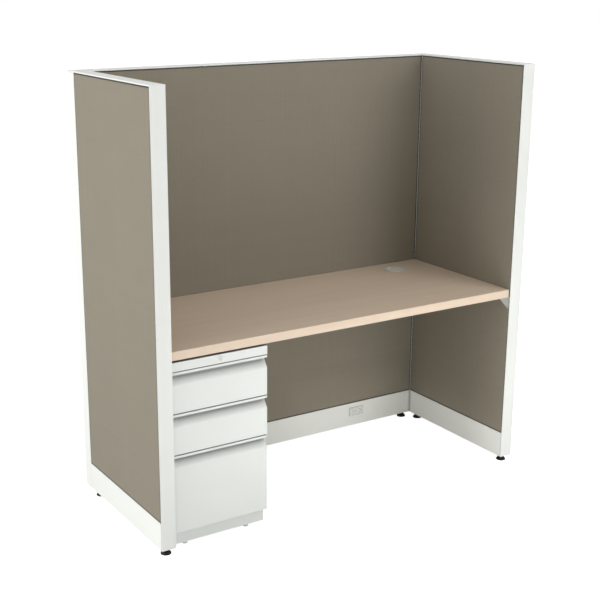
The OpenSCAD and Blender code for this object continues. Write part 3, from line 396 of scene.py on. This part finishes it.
def startFinish(name, **values):
    # A material with its shader; values are the shader's own settings
    material = bpy.data.materials.new(name)
    material.use_nodes = True
    tree = material.node_tree
    tree.nodes.clear()
    shader = connect(tree, "ShaderNodeBsdfPrincipled", values)
    connect(tree, "ShaderNodeOutputMaterial", {"Surface": shader.outputs[0]})
    coords = connect(tree, "ShaderNodeTexCoord")
    return material, tree, shader, coords.outputs["Object"]


def useGroup(tree, group, links):
    return connect(tree, "ShaderNodeGroup", links, node_tree=group)


def bumpFrom(tree, shader, height, strength, distance):
    bump = connect(tree, "ShaderNodeBump", {"Height": height, "Strength": strength, "Distance": distance})
    tree.links.new(bump.outputs[0], shader.inputs["Normal"])


def addPaintedShade(tree, color, group, strength, reach, side=None):
    # With a side, the painted shade falls only where the surface looks that way
    if side:
        fadeIn = 4.0
        normal = connect(tree, "ShaderNodeNewGeometry").outputs["Normal"]
        toSide = connect(tree, "ShaderNodeVectorMath", {0: normal, 1: side}, operation="DOT_PRODUCT")
        share = mathNode(tree, "MULTIPLY", toSide.outputs["Value"], fadeIn, clamp=True)
        strength = mathNode(tree, "MULTIPLY", share, strength)
    return useGroup(tree, group, {"Color": color, "Strength": strength, "Reach": reach}).outputs["Color"]


def makeCoatFinish(name, look):
    material, tree, shader, place = startFinish(name, **{"Specular IOR Level": look["gloss"]})
    effect = useGroup(tree, coatTexture, {
        "Vector": place, "Base Color": (*look["color"], 1), "Grain Size": look["grain"],
        "Tone Shift": look["toneShift"], "Roughness": look["roughness"],
        "Roughness Shift": look["roughnessShift"]})
    color = effect.outputs["Color"]
    # painted shade in joints and folds, laid over the coat's colour
    for layer in look.get("dust", ()):
        color = addPaintedShade(tree, color, *layer)
    tree.links.new(color, shader.inputs["Base Color"])
    tree.links.new(effect.outputs["Roughness"], shader.inputs["Roughness"])
    bumpFrom(tree, shader, effect.outputs["Height"], look["bump"], look["depth"])
    return material


def makeMetalFinish(name, look):
    material, tree, shader, place = startFinish(name, Metallic=1.0)
    effect = useGroup(tree, metalSurface, {
        "Vector": place, "Base Color": (*look["color"], 1), "Spangle": look["spangle"],
        "Roughness": look["roughness"], "Roughness Shift": look["roughnessShift"]})
    tree.links.new(effect.outputs["Color"], shader.inputs["Base Color"])
    tree.links.new(effect.outputs["Roughness"], shader.inputs["Roughness"])
    bumpFrom(tree, shader, effect.outputs["Height"], look["bump"], look["depth"])
    return material


def makeFabricFinish(name, look):
    material, tree, shader, place = startFinish(name, **{
        "Roughness": look["roughness"], "Specular IOR Level": look["gloss"], "Sheen Weight": look["sheen"],
        "Sheen Roughness": look["sheenRoughness"], "Sheen Tint": (*look["sheenColor"], 1)})
    # u runs along any of the three panels, because each is square to X or Y
    split = connect(tree, "ShaderNodeSeparateXYZ", {0: place})
    along = mathNode(tree, "ADD", split.outputs[0], split.outputs[1])
    flat = connect(tree, "ShaderNodeCombineXYZ", {0: along, 1: split.outputs[2]})
    effect = useGroup(tree, weave, {
        "Vector": flat.outputs[0], "Thread Width": look["threadWidth"], "Warp Color": (*look["warp"], 1),
        "Weft Color": (*look["weft"], 1), "Thread Variation": look["threadVariation"], "Slub": look["slub"]})
    color = scaleColor(tree, effect.outputs["Color"], spread(tree, effect.outputs["Mottle"], *look["mottle"]))
    tree.links.new(color, shader.inputs["Base Color"])
    bumpFrom(tree, shader, effect.outputs["Height"], look["bump"], look["threadWidth"] * look["reliefShare"])
    return material


def makeWoodFinish(name, look):
    material, tree, shader, place = startFinish(name, **{
        "Roughness": look["roughness"], "Specular IOR Level": look["gloss"]})
    effect = useGroup(tree, woodGrain, {
        "Vector": place, "Pale Color": (*look["pale"], 1), "Dark Color": (*look["dark"], 1),
        "Figure": look["figure"], "Pores": look["pores"]})
    color = effect.outputs["Color"]
    if "backer" in look:
        # the plain balancing sheet under the board
        facingDown = -0.5
        normal = connect(tree, "ShaderNodeNewGeometry").outputs["Normal"]
        down = connect(tree, "ShaderNodeSeparateXYZ", {0: normal}).outputs[2]
        under = mathNode(tree, "LESS_THAN", down, facingDown)
        color = blendColors(tree, under, color, (*look["backer"], 1))
    tree.links.new(color, shader.inputs["Base Color"])
    bumpFrom(tree, shader, effect.outputs["Height"], look["bump"], look["depth"])
    return material


# each coat's list of painted shade layers: effect, strength, reach and, where the shade falls on one side
# only, that side
whiteCoat = {"color": (0.88, 0.895, 0.855), "grain": 0.0009, "toneShift": 0.02, "roughness": 0.42,
             "roughnessShift": 0.1, "bump": 0.12, "depth": 0.0001, "gloss": 0.4,
             "dust": [(jointDust, 0.85, 14 * mm)]}
pedestalCoat = {"color": (0.84, 0.862, 0.822), "grain": 0.0012, "toneShift": 0.02, "roughness": 0.46,
                "roughnessShift": 0.12, "bump": 0.18, "depth": 0.00012, "gloss": 0.4}
# painted shade on the drawer fronts: the pull recess darkened under the lip on front-facing faces, and the
# narrow gaps beside each front
frontShadedCoat = {**pedestalCoat, "dust": [(foldDust, 1.36, 36 * mm, (0, -1, 0)), (jointDust, 0.95, 8 * mm)]}
# painted shade on the case's upward faces, under the worktop
caseShadedCoat = {**pedestalCoat, "dust": [(jointDust, 0.9, 22 * mm, (0, 0, 1))]}
whitePlastic = {"color": (0.86, 0.875, 0.84), "grain": 0.0006, "toneShift": 0.015, "roughness": 0.38,
                "roughnessShift": 0.08, "bump": 0.1, "depth": 0.00006, "gloss": 0.5,
                "dust": [(jointDust, 0.96, 7 * mm)]}
grommetPlastic = {"color": (0.74, 0.755, 0.685), "grain": 0.0006, "toneShift": 0.03, "roughness": 0.45,
                  "roughnessShift": 0.1, "bump": 0.15, "depth": 0.00008, "gloss": 0.5,
                  "dust": [(jointDust, 0.92, 16 * mm)]}
blackNylon = {"color": (0.006, 0.006, 0.0063), "grain": 0.0007, "toneShift": 0.1, "roughness": 0.55,
              "roughnessShift": 0.15, "bump": 0.15, "depth": 0.00008, "gloss": 0.25}
# near black: partly the standards' own dark paint, partly painted shade on the strips set in the joints
framePaint = {"color": (0.05, 0.05, 0.046), "grain": 0.0011, "toneShift": 0.05, "roughness": 0.6,
              "roughnessShift": 0.12, "bump": 0.2, "depth": 0.0001, "gloss": 0.35}
# mid grey: partly a grey-painted bracket, partly painted shade from the worktop above it
bracketCoatAndShade = {"color": (0.375, 0.38, 0.352), "grain": 0.0009, "toneShift": 0.03, "roughness": 0.45,
               "roughnessShift": 0.1, "bump": 0.14, "depth": 0.0001, "gloss": 0.4}
zincPlate = {"color": (0.60, 0.61, 0.62), "spangle": 0.16, "roughness": 0.38, "roughnessShift": 0.16,
             "bump": 0.1, "depth": 0.00005}
satinNickel = {"color": (0.66, 0.69, 0.67), "spangle": 0.03, "roughness": 0.4, "roughnessShift": 0.1,
               "bump": 0.1, "depth": 0.00005}
panelFabric = {"warp": (0.298, 0.269, 0.212), "weft": (0.258, 0.233, 0.182), "threadWidth": 0.0011,
               "threadVariation": 0.12, "slub": 0.12, "mottle": (0.97, 1.03), "bump": 0.5, "reliefShare": 0.4,
               "roughness": 0.92, "gloss": 0.12, "sheen": 0.1, "sheenRoughness": 0.5,
               "sheenColor": (0.9, 0.87, 0.8)}
mapleTop = {"pale": (0.808, 0.657, 0.516), "dark": (0.662, 0.511, 0.384), "figure": 0.5, "pores": 0.2,
            "roughness": 0.42, "gloss": 0.4, "bump": 0.12, "depth": 0.00008, "backer": (0.42, 0.33, 0.25)}
mapleEdge = {"pale": (0.83, 0.678, 0.526), "dark": (0.69, 0.537, 0.404), "figure": 0.45, "pores": 0.2,
             "roughness": 0.45, "gloss": 0.4, "bump": 0.12, "depth": 0.00008}

finishes = {
    "white_paint": makeCoatFinish("whitePowderCoat", whiteCoat),
    "pedestal_paint": makeCoatFinish("pedestalPowderCoat", pedestalCoat),
    "white_plastic": makeCoatFinish("whiteMouldedPlastic", whitePlastic),
    "grommet_plastic": makeCoatFinish("greyMouldedPlastic", grommetPlastic),
    "black_plastic": makeCoatFinish("blackNylon", blackNylon),
    "frame_paint": makeCoatFinish("framePowderCoat", framePaint),
    "bracket_paint": makeCoatFinish("bracketPowderCoat", bracketCoatAndShade),
    "zinc_steel": makeMetalFinish("zincPlate", zincPlate),
    "lock_metal": makeMetalFinish("satinNickel", satinNickel),
    "panel_fabric": makeFabricFinish("panelCloth", panelFabric),
    "maple_laminate": makeWoodFinish("mapleLaminate", mapleTop),
    "maple_band": makeWoodFinish("mapleEdgeBand", mapleEdge),
}
# copies of the pedestal coat that carry painted shade, for the case and for the drawer fronts
caseShadedFinish = makeCoatFinish("pedestalCaseCoat", caseShadedCoat)
frontShadedFinish = makeCoatFinish("drawerFrontCoat", frontShadedCoat)
print("finishes made:", len(finishes))


# Helpers for pieces

def newPiece(name, mesh, slotName, body, *replaced):
    piece = bpy.data.objects.new(name, mesh)
    bpy.context.scene.collection.objects.link(piece)
    if not mesh.materials:
        mesh.materials.append(finishes[slotName])
    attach(piece, body)
    if replaced:
        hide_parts(*replaced)
    return piece


def evenShading(piece):
    weighted = piece.modifiers.new("evenShading", "WEIGHTED_NORMAL")
    weighted.keep_sharp = True


def softenEdges(piece, width, steps=2, sharpFrom=40):
    bevel = piece.modifiers.new("softEdges", "BEVEL")
    bevel.width = width
    bevel.segments = steps
    bevel.limit_method = "ANGLE"
    bevel.angle_limit = math.radians(sharpFrom)


def smoothMesh(mesh, angle=35):
    for face in mesh.polygons:
        face.use_smooth = True
    mesh.set_sharp_from_angle(angle=math.radians(angle))


def meshFrom(name, bm, angle=35):
    bmesh.ops.recalc_face_normals(bm, faces=bm.faces)
    mesh = bpy.data.meshes.new(name)
    bm.to_mesh(mesh)
    bm.free()
    smoothMesh(mesh, angle)
    return mesh


def roundCorners(points, radii, steps=6):
    # The outline with an arc at each corner that has a radius
    out = []
    for i, (point, radius) in enumerate(zip(points, radii)):
        here = Vector(point)
        if not radius:
            out.append(here)
            continue
        before = (Vector(points[i - 1]) - here).normalized()
        after = (Vector(points[(i + 1) % len(points)]) - here).normalized()
        half = before.angle(after) / 2
        centre = here + (before + after).normalized() * (radius / math.sin(half))
        first = here + before * (radius / math.tan(half)) - centre
        last = here + after * (radius / math.tan(half)) - centre
        for k in range(steps + 1):
            arm = first.lerp(last, k / steps)
            out.append(centre + arm.normalized() * radius)
    return out


# Finishes on the CAD's own pieces, with their sharp edges broken

edgeBreaks = {
    "pedestal_case": 0.6 * mm,
    "worksurface": 0.35 * mm,
    "right_front_bracket": 0.4 * mm,
    "right_rear_bracket": 0.4 * mm,
    "left_rear_bracket": 0.4 * mm,
    "duplex_receptacle": 0.4 * mm,
    "grommet_liner": 0.6 * mm,
    "grommet_cap": 0.5 * mm,
    "lock_plug": 0.3 * mm,
    "top_drawer_body": 0.3 * mm,
    "middle_drawer_body": 0.3 * mm,
    "file_drawer_body": 0.3 * mm,
    "corner_post_caps": 0.8 * mm,
}
weldReach = 0.01 * mm


def dressCadNodes():
    for part in frame["record"]["subparts"]:
        node = cadNodes[part["node"]]
        node.data.materials.clear()
        # the case takes the copy of the pedestal coat with painted shade under the worktop
        node.data.materials.append(caseShadedFinish if part["node"] == "pedestal_case"
                                   else finishes[part["material_slot"]])
    for name, width in edgeBreaks.items():
        node = cadNodes[name]
        weld = node.modifiers.new("joinCorners", "WELD")
        weld.merge_threshold = weldReach
        softenEdges(node, width)
        evenShading(node)


dressCadNodes()
print("CAD pieces dressed")


# Fabric tiles: cloth pulled over a board, with rolled edges

tileLook = {"thickness": 12 * mm, "roll": 3.2 * mm, "cornerRadius": 4 * mm, "leastRadius": 0.4 * mm,
            "cornerLossShare": 0.5, "rollSteps": 6, "cornerSteps": 5, "backInset": 2 * mm,
            "backEdge": 1.2 * mm, "rings": (14 * mm, 45 * mm, 120 * mm)}


def tileOutline(width, height, inset, look):
    # Rounded rectangle drawn in by inset, with a fixed count of points
    points = []
    radius = max(look["cornerRadius"] - inset * look["cornerLossShare"], look["leastRadius"])
    for cornerX, cornerZ, start in ((1, 1, 0), (-1, 1, 90), (-1, -1, 180), (1, -1, 270)):
        for k in range(look["cornerSteps"] + 1):
            angle = math.radians(start + 90 * k / look["cornerSteps"])
            points.append((cornerX * (width / 2 - inset - radius) + radius * math.cos(angle),
                           cornerZ * (height / 2 - inset - radius) + radius * math.sin(angle)))
    return points


def makeTile(name, node, faceSign, look):
    # faceSign is the side that the cloth's face looks to, along the tile's thin axis
    low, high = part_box(node)
    thin = 0 if high.x - low.x < high.y - low.y else 1
    long = 1 - thin
    width = high[long] - low[long]
    height = high.z - low.z
    face = high[thin] if faceSign > 0 else low[thin]
    centre = ((low[long] + high[long]) / 2, (low.z + high.z) / 2)
    top, roll = look["thickness"], look["roll"]
    # each row is an inset from the tile's outline and a height above its back
    rows = [(look["backInset"], 0.0), (0.0, look["backEdge"]), (0.0, top - roll)]
    for k in range(1, look["rollSteps"] + 1):
        angle = math.radians(90 * k / look["rollSteps"])
        rows.append((roll * (1 - math.cos(angle)), top - roll + roll * math.sin(angle)))
    rows += [(ring, top) for ring in look["rings"]]
    bm = bmesh.new()
    loops = []
    for inset, depth in rows:
        loop = []
        for across, up in tileOutline(width, height, inset, look):
            place = [0, 0, centre[1] + up]
            place[long] = centre[0] + across
            place[thin] = face - faceSign * (top - depth)
            loop.append(bm.verts.new(place))
        loops.append(loop)
    count = len(loops[0])
    for first, second in zip(loops, loops[1:]):
        for k in range(count):
            bm.faces.new((first[k], first[(k + 1) % count], second[(k + 1) % count], second[k]))
    bm.faces.new(loops[0])
    bm.faces.new(loops[-1])
    piece = newPiece(name, meshFrom(name, bm, angle=60), "panel_fabric", "workstation", node)
    evenShading(piece)


for side, outerSign in (("left", -1), ("back", 1), ("right", 1)):
    makeTile(side + "OuterFabric", side + "_outer_tile", outerSign, tileLook)
    makeTile(side + "InnerFabric", side + "_inner_tile", -outerSign, tileLook)
print("fabric tiles made")


# Dark strips in the joints round each tile, painted shade that keeps each reveal dark; the upright ones
# repeat the standards' slots

stripLook = {"joint": 4.5 * mm, "clearance": 0.15 * mm, "depth": 2.2 * mm, "thickness": 1.2 * mm,
             "slotWidth": 2.5 * mm, "slotHeight": 12.7 * mm, "slotPitch": 25.4 * mm, "firstSlot": 151 * mm,
             "slots": 58, "bracketRoom": 1 * mm}


def makeShadeStrips(name, node, faceSign, passing, look):
    # passing names the brackets whose plates cross an upright strip
    low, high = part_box(node)
    thin = 0 if high.x - low.x < high.y - low.y else 1
    long = 1 - thin
    face = high[thin] if faceSign > 0 else low[thin]
    faces = sorted((face - faceSign * look["depth"], face - faceSign * (look["depth"] + look["thickness"])))
    bm = bmesh.new()

    def addBlock(along, up):
        # a block between two places along the panel and two heights
        first, second = [0, 0, up[0]], [0, 0, up[1]]
        first[long], second[long] = along
        first[thin], second[thin] = faces
        made = bmesh.ops.create_cube(bm, size=1)["verts"]
        for vert in made:
            vert.co = [first[k] if vert.co[k] < 0 else second[k] for k in range(3)]

    gap, joint, room = look["clearance"], look["joint"], look["bracketRoom"]
    bottom, top = low.z - joint + gap, high.z + joint - gap
    for zs in ((bottom, low.z - gap), (high.z + gap, top)):
        addBlock((low[long] - gap, high[long] + gap), zs)
    crossed = [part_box(bracket) for bracket in passing]
    for outward, edge in ((-1, low[long]), (1, high[long])):
        inner, outer = sorted((edge + outward * gap, edge + outward * (joint - gap)))
        middle = edge + outward * joint / 2
        sides = (inner, middle - look["slotWidth"] / 2), (middle + look["slotWidth"] / 2, outer)
        for along in sides:
            addBlock(along, (bottom, top))
        rungs = [bottom]
        for k in range(look["slots"]):
            slotLow = look["firstSlot"] + k * look["slotPitch"]
            rungs += [slotLow, slotLow + look["slotHeight"]]
        rungs.append(top)
        for first, second in zip(rungs[::2], rungs[1::2]):
            blocked = any(boxLow.z - room < second and first < boxHigh.z + room
                          and boxLow[long] - joint < middle < boxHigh[long] + joint
                          for boxLow, boxHigh in crossed)
            if not blocked:
                addBlock((middle - look["slotWidth"] / 2, middle + look["slotWidth"] / 2), (first, second))
    newPiece(name, meshFrom(name, bm, angle=30), "frame_paint", "workstation")


for side, outerSign, brackets in (("left", -1, ["left_rear_bracket"]), ("back", 1, []),
                                  ("right", 1, ["right_front_bracket", "right_rear_bracket"])):
    makeShadeStrips(side + "OuterStrips", side + "_outer_tile", outerSign, [], stripLook)
    makeShadeStrips(side + "InnerStrips", side + "_inner_tile", -outerSign, brackets, stripLook)
print("reveal strips made")


# Drawer fronts: one folded sheet each, with bends of the press brake's radius

frontLook = {"lip": 9 * mm, "pullHeight": 38 * mm, "pullDepth": 20 * mm, "slopeShare": 0.72,
             "sheet": 1.2 * mm, "faceBend": 1.8 * mm, "lipBend": 1.6 * mm, "deepBend": 2.2 * mm,
             "slopeBend": 8.0 * mm, "pullBend": 5.0 * mm, "edgeBreak": 0.5 * mm}


def makeDrawerFront(name, node, body, look):
    low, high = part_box(node)
    depth = high.y - low.y
    height = high.z - low.z
    slopeTop = -look["lip"] - (1 - look["slopeShare"]) * look["pullHeight"]
    outline = roundCorners(
        [(depth, 0), (0, 0), (0, -look["lip"]), (look["pullDepth"], -look["lip"]),
         (look["pullDepth"], slopeTop), (0, -look["lip"] - look["pullHeight"]), (0, -height),
         (depth, -height)],
        [0, look["faceBend"], look["lipBend"], look["deepBend"], look["slopeBend"], look["pullBend"],
         look["faceBend"], 0])
    bm = bmesh.new()
    ends = []
    for x in (low.x, high.x):
        ends.append([bm.verts.new((x, low.y + y, high.z + z)) for y, z in outline])
    for k in range(len(outline) - 1):
        bm.faces.new((ends[0][k], ends[0][k + 1], ends[1][k + 1], ends[1][k]))
    for end in ends:
        bm.faces.new(end)
    mesh = meshFrom(name, bm, angle=40)
    # the front's coat carries painted shade in the pull recess and the gaps
    mesh.materials.append(frontShadedFinish)
    piece = newPiece(name, mesh, "pedestal_paint", body, node)
    softenEdges(piece, look["edgeBreak"])
    shell = piece.modifiers.new("sheet", "SOLIDIFY")
    shell.thickness = look["sheet"]
    shell.offset = -1
    shell.use_even_offset = True
    evenShading(piece)


for key in ("top", "middle", "file"):
    makeDrawerFront(key + "DrawerFace", key + "_drawer_front", key + "_drawer", frontLook)
print("drawer fronts made")


# Levelling glides: a moulded pad on a hexagon with a threaded stem

# padEdge: places in from the pad's rim and up from its foot
# crestShares: the flat part of each thread's pitch
glideShape = {"padEdge": ((1.2 * mm, 0), (0.3 * mm, 0.4 * mm), (0, 1.2 * mm)), "padRim": 0.6 * mm,
              "swellShare": 0.12, "domeSteps": 8, "chamfer": 0.5 * mm, "chamferRise": 0.4 * mm,
              "crestShares": (0.42, 0.58), "threadSteps": 24, "threadEnd": 1 * mm, "tip": 0.6 * mm}
panelGlide = {**glideShape, "footHeight": 3 * mm, "domeHeight": 16 * mm, "neckRadius": 8 * mm,
              "hexRadius": 9.6 * mm, "hexHeight": 4 * mm, "neckTop": 27.7 * mm, "stemRadius": 5 * mm,
              "pitch": 1.5 * mm, "threadDepth": 0.75 * mm, "steps": 40, "padSlot": "black_plastic"}
pedestalGlide = {**glideShape, "footHeight": 2 * mm, "domeHeight": 10 * mm, "neckRadius": 6 * mm,
                 "hexRadius": 7.2 * mm, "hexHeight": 4 * mm, "neckTop": 16.7 * mm, "stemRadius": 4 * mm,
                 "pitch": 1.25 * mm, "threadDepth": 0.6 * mm, "steps": 32, "padSlot": "zinc_steel"}


def spin(bm, profile, centre, steps):
    # Turns a closed-ended profile of (radius, height) round a vertical axis
    onAxis = 1e-6
    rings = []
    for radius, z in profile:
        if radius < onAxis:
            rings.append([bm.verts.new((centre[0], centre[1], z))])
            continue
        rings.append([bm.verts.new((centre[0] + radius * math.cos(2 * math.pi * k / steps),
                                    centre[1] + radius * math.sin(2 * math.pi * k / steps), z))
                      for k in range(steps)])
    for first, second in zip(rings, rings[1:]):
        for k in range(steps):
            nextK = (k + 1) % steps
            corners = [first[k % len(first)], first[nextK % len(first)],
                       second[nextK % len(second)], second[k % len(second)]]
            unique = list(dict.fromkeys(corners))
            if len(unique) > 2:
                bm.faces.new(unique)


def makeGlide(name, node, look):
    low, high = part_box(node)
    centre = ((low.x + high.x) / 2, (low.y + high.y) / 2)
    padRadius = (high.x - low.x) / 2
    foot, dome = look["footHeight"], look["domeHeight"]
    neck, hexagon, neckTop = look["neckRadius"], look["hexRadius"], look["neckTop"]
    profile = [(0, 0)] + [(padRadius - inward, up) for inward, up in look["padEdge"]]
    profile.append((padRadius, foot - look["padRim"]))
    for k in range(look["domeSteps"] + 1):  # the pad's shoulder swells before it runs up to the neck
        share = k / look["domeSteps"]
        swell = math.sin(share * math.pi) * look["swellShare"] * (padRadius - neck)
        profile.append((padRadius + (neck - padRadius) * share + swell, foot + (dome - foot) * share))
    profile.append((0, dome))
    bm = bmesh.new()
    spin(bm, profile, centre, look["steps"])
    pad = newPiece(name + "Pad", meshFrom(name + "Pad", bm, angle=40), look["padSlot"], node, node)
    evenShading(pad)

    bm = bmesh.new()
    hexTop = dome + look["hexHeight"]
    chamfer, rise, tip = look["chamfer"], look["chamferRise"], look["tip"]
    spin(bm, [(0, dome), (hexagon - chamfer, dome), (hexagon, dome + rise), (hexagon, hexTop - rise),
              (hexagon - chamfer, hexTop), (0, hexTop)], centre, 6)
    spin(bm, [(0, hexTop), (neck, hexTop), (neck, neckTop - chamfer), (neck - chamfer, neckTop),
              (0, neckTop)], centre, look["steps"])
    thread = [(0, neckTop)]
    z = neckTop
    pitch = look["pitch"]
    core = look["stemRadius"] - look["threadDepth"]
    while z + pitch < high.z - look["threadEnd"]:
        thread += [(core, z)] + [(look["stemRadius"], z + share * pitch) for share in look["crestShares"]]
        z += pitch
    thread += [(core, z), (core, high.z - tip), (core - tip, high.z), (0, high.z)]
    spin(bm, thread, centre, look["threadSteps"])
    stem = newPiece(name + "Stem", meshFrom(name + "Stem", bm, angle=30), "zinc_steel", node, node)
    evenShading(stem)


for glideNode in [n for n in cadNodes if n.endswith("_glide")]:
    words = glideNode.split("_")
    makeGlide(words[0] + "".join(word.capitalize() for word in words[1:]), glideNode,
              pedestalGlide if glideNode.startswith("pedestal") else panelGlide)
print("levelling glides made")


# Pan-head screws with a cross recess

screwLook = {"radius": 4 * mm, "height": 2.2 * mm, "crossLength": 4.4 * mm, "crossWidth": 1.0 * mm,
             "crossDepth": 1.2 * mm, "steps": 24, "domeShares": ((1, 0), (1, 0.45), (0.93, 0.75), (0.78, 1)),
             "drawerSheet": 1 * mm, "rowShares": (0.3, 0.72), "fromSide": 60 * mm}


def makeScrewHeads(name, places, direction, body, look):
    # Heads that stand on a sheet at each place and face the given direction
    bm = bmesh.new()
    turn = Vector(direction).to_track_quat("Z", "Y").to_matrix().to_4x4()
    arm, half = look["crossLength"] / 2, look["crossWidth"] / 2
    cross = [(half, half), (half, arm), (-half, arm), (-half, half), (-arm, half), (-arm, -half),
             (-half, -half), (-half, -arm), (half, -arm), (half, -half), (arm, -half), (arm, half)]
    circle = [(math.cos(2 * math.pi * k / look["steps"]), math.sin(2 * math.pi * k / look["steps"]))
              for k in range(look["steps"])]
    for place in places:
        made = []

        def loopAt(points, z):
            loop = [bm.verts.new((x, y, z)) for x, y in points]
            made.extend(loop)
            return loop

        def join(first, second):
            for k in range(len(first)):
                nextK = (k + 1) % len(first)
                bm.faces.new((first[k], first[nextK], second[nextK], second[k]))

        radius, height = look["radius"], look["height"]
        rings = [loopAt([(x * (out * radius), y * (out * radius)) for x, y in circle], up * height)
                 for out, up in look["domeShares"]]
        for first, second in zip(rings, rings[1:]):
            join(first, second)
        rim = loopAt(cross, height)
        base = loopAt(cross, height - look["crossDepth"])
        join(rim, base)
        bm.faces.new(base)
        edges = [bm.edges.get((loop[k], loop[(k + 1) % len(loop)])) or
                 bm.edges.new((loop[k], loop[(k + 1) % len(loop)]))
                 for loop in (rings[-1], rim) for k in range(len(loop))]
        bmesh.ops.triangle_fill(bm, edges=edges, use_beauty=True, normal=(0, 0, 1))
        bmesh.ops.transform(bm, matrix=Matrix.Translation(place) @ turn, verts=made)
    screws = newPiece(name, meshFrom(name, bm, angle=30), "zinc_steel", body)
    evenShading(screws)


# inside each drawer, through the body into the front
for key in ("top", "middle", "file"):
    low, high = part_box(key + "_drawer_body")
    inside = low.y + screwLook["drawerSheet"]
    rows = [low.z + share * (high.z - low.z) for share in screwLook["rowShares"]]
    columns = (low.x + screwLook["fromSide"], high.x - screwLook["fromSide"])
    makeScrewHeads(key + "FrontScrews", [Vector((x, inside, z)) for x in columns for z in rows], (0, 1, 0),
                   key + "_drawer", screwLook)
print("screws made")
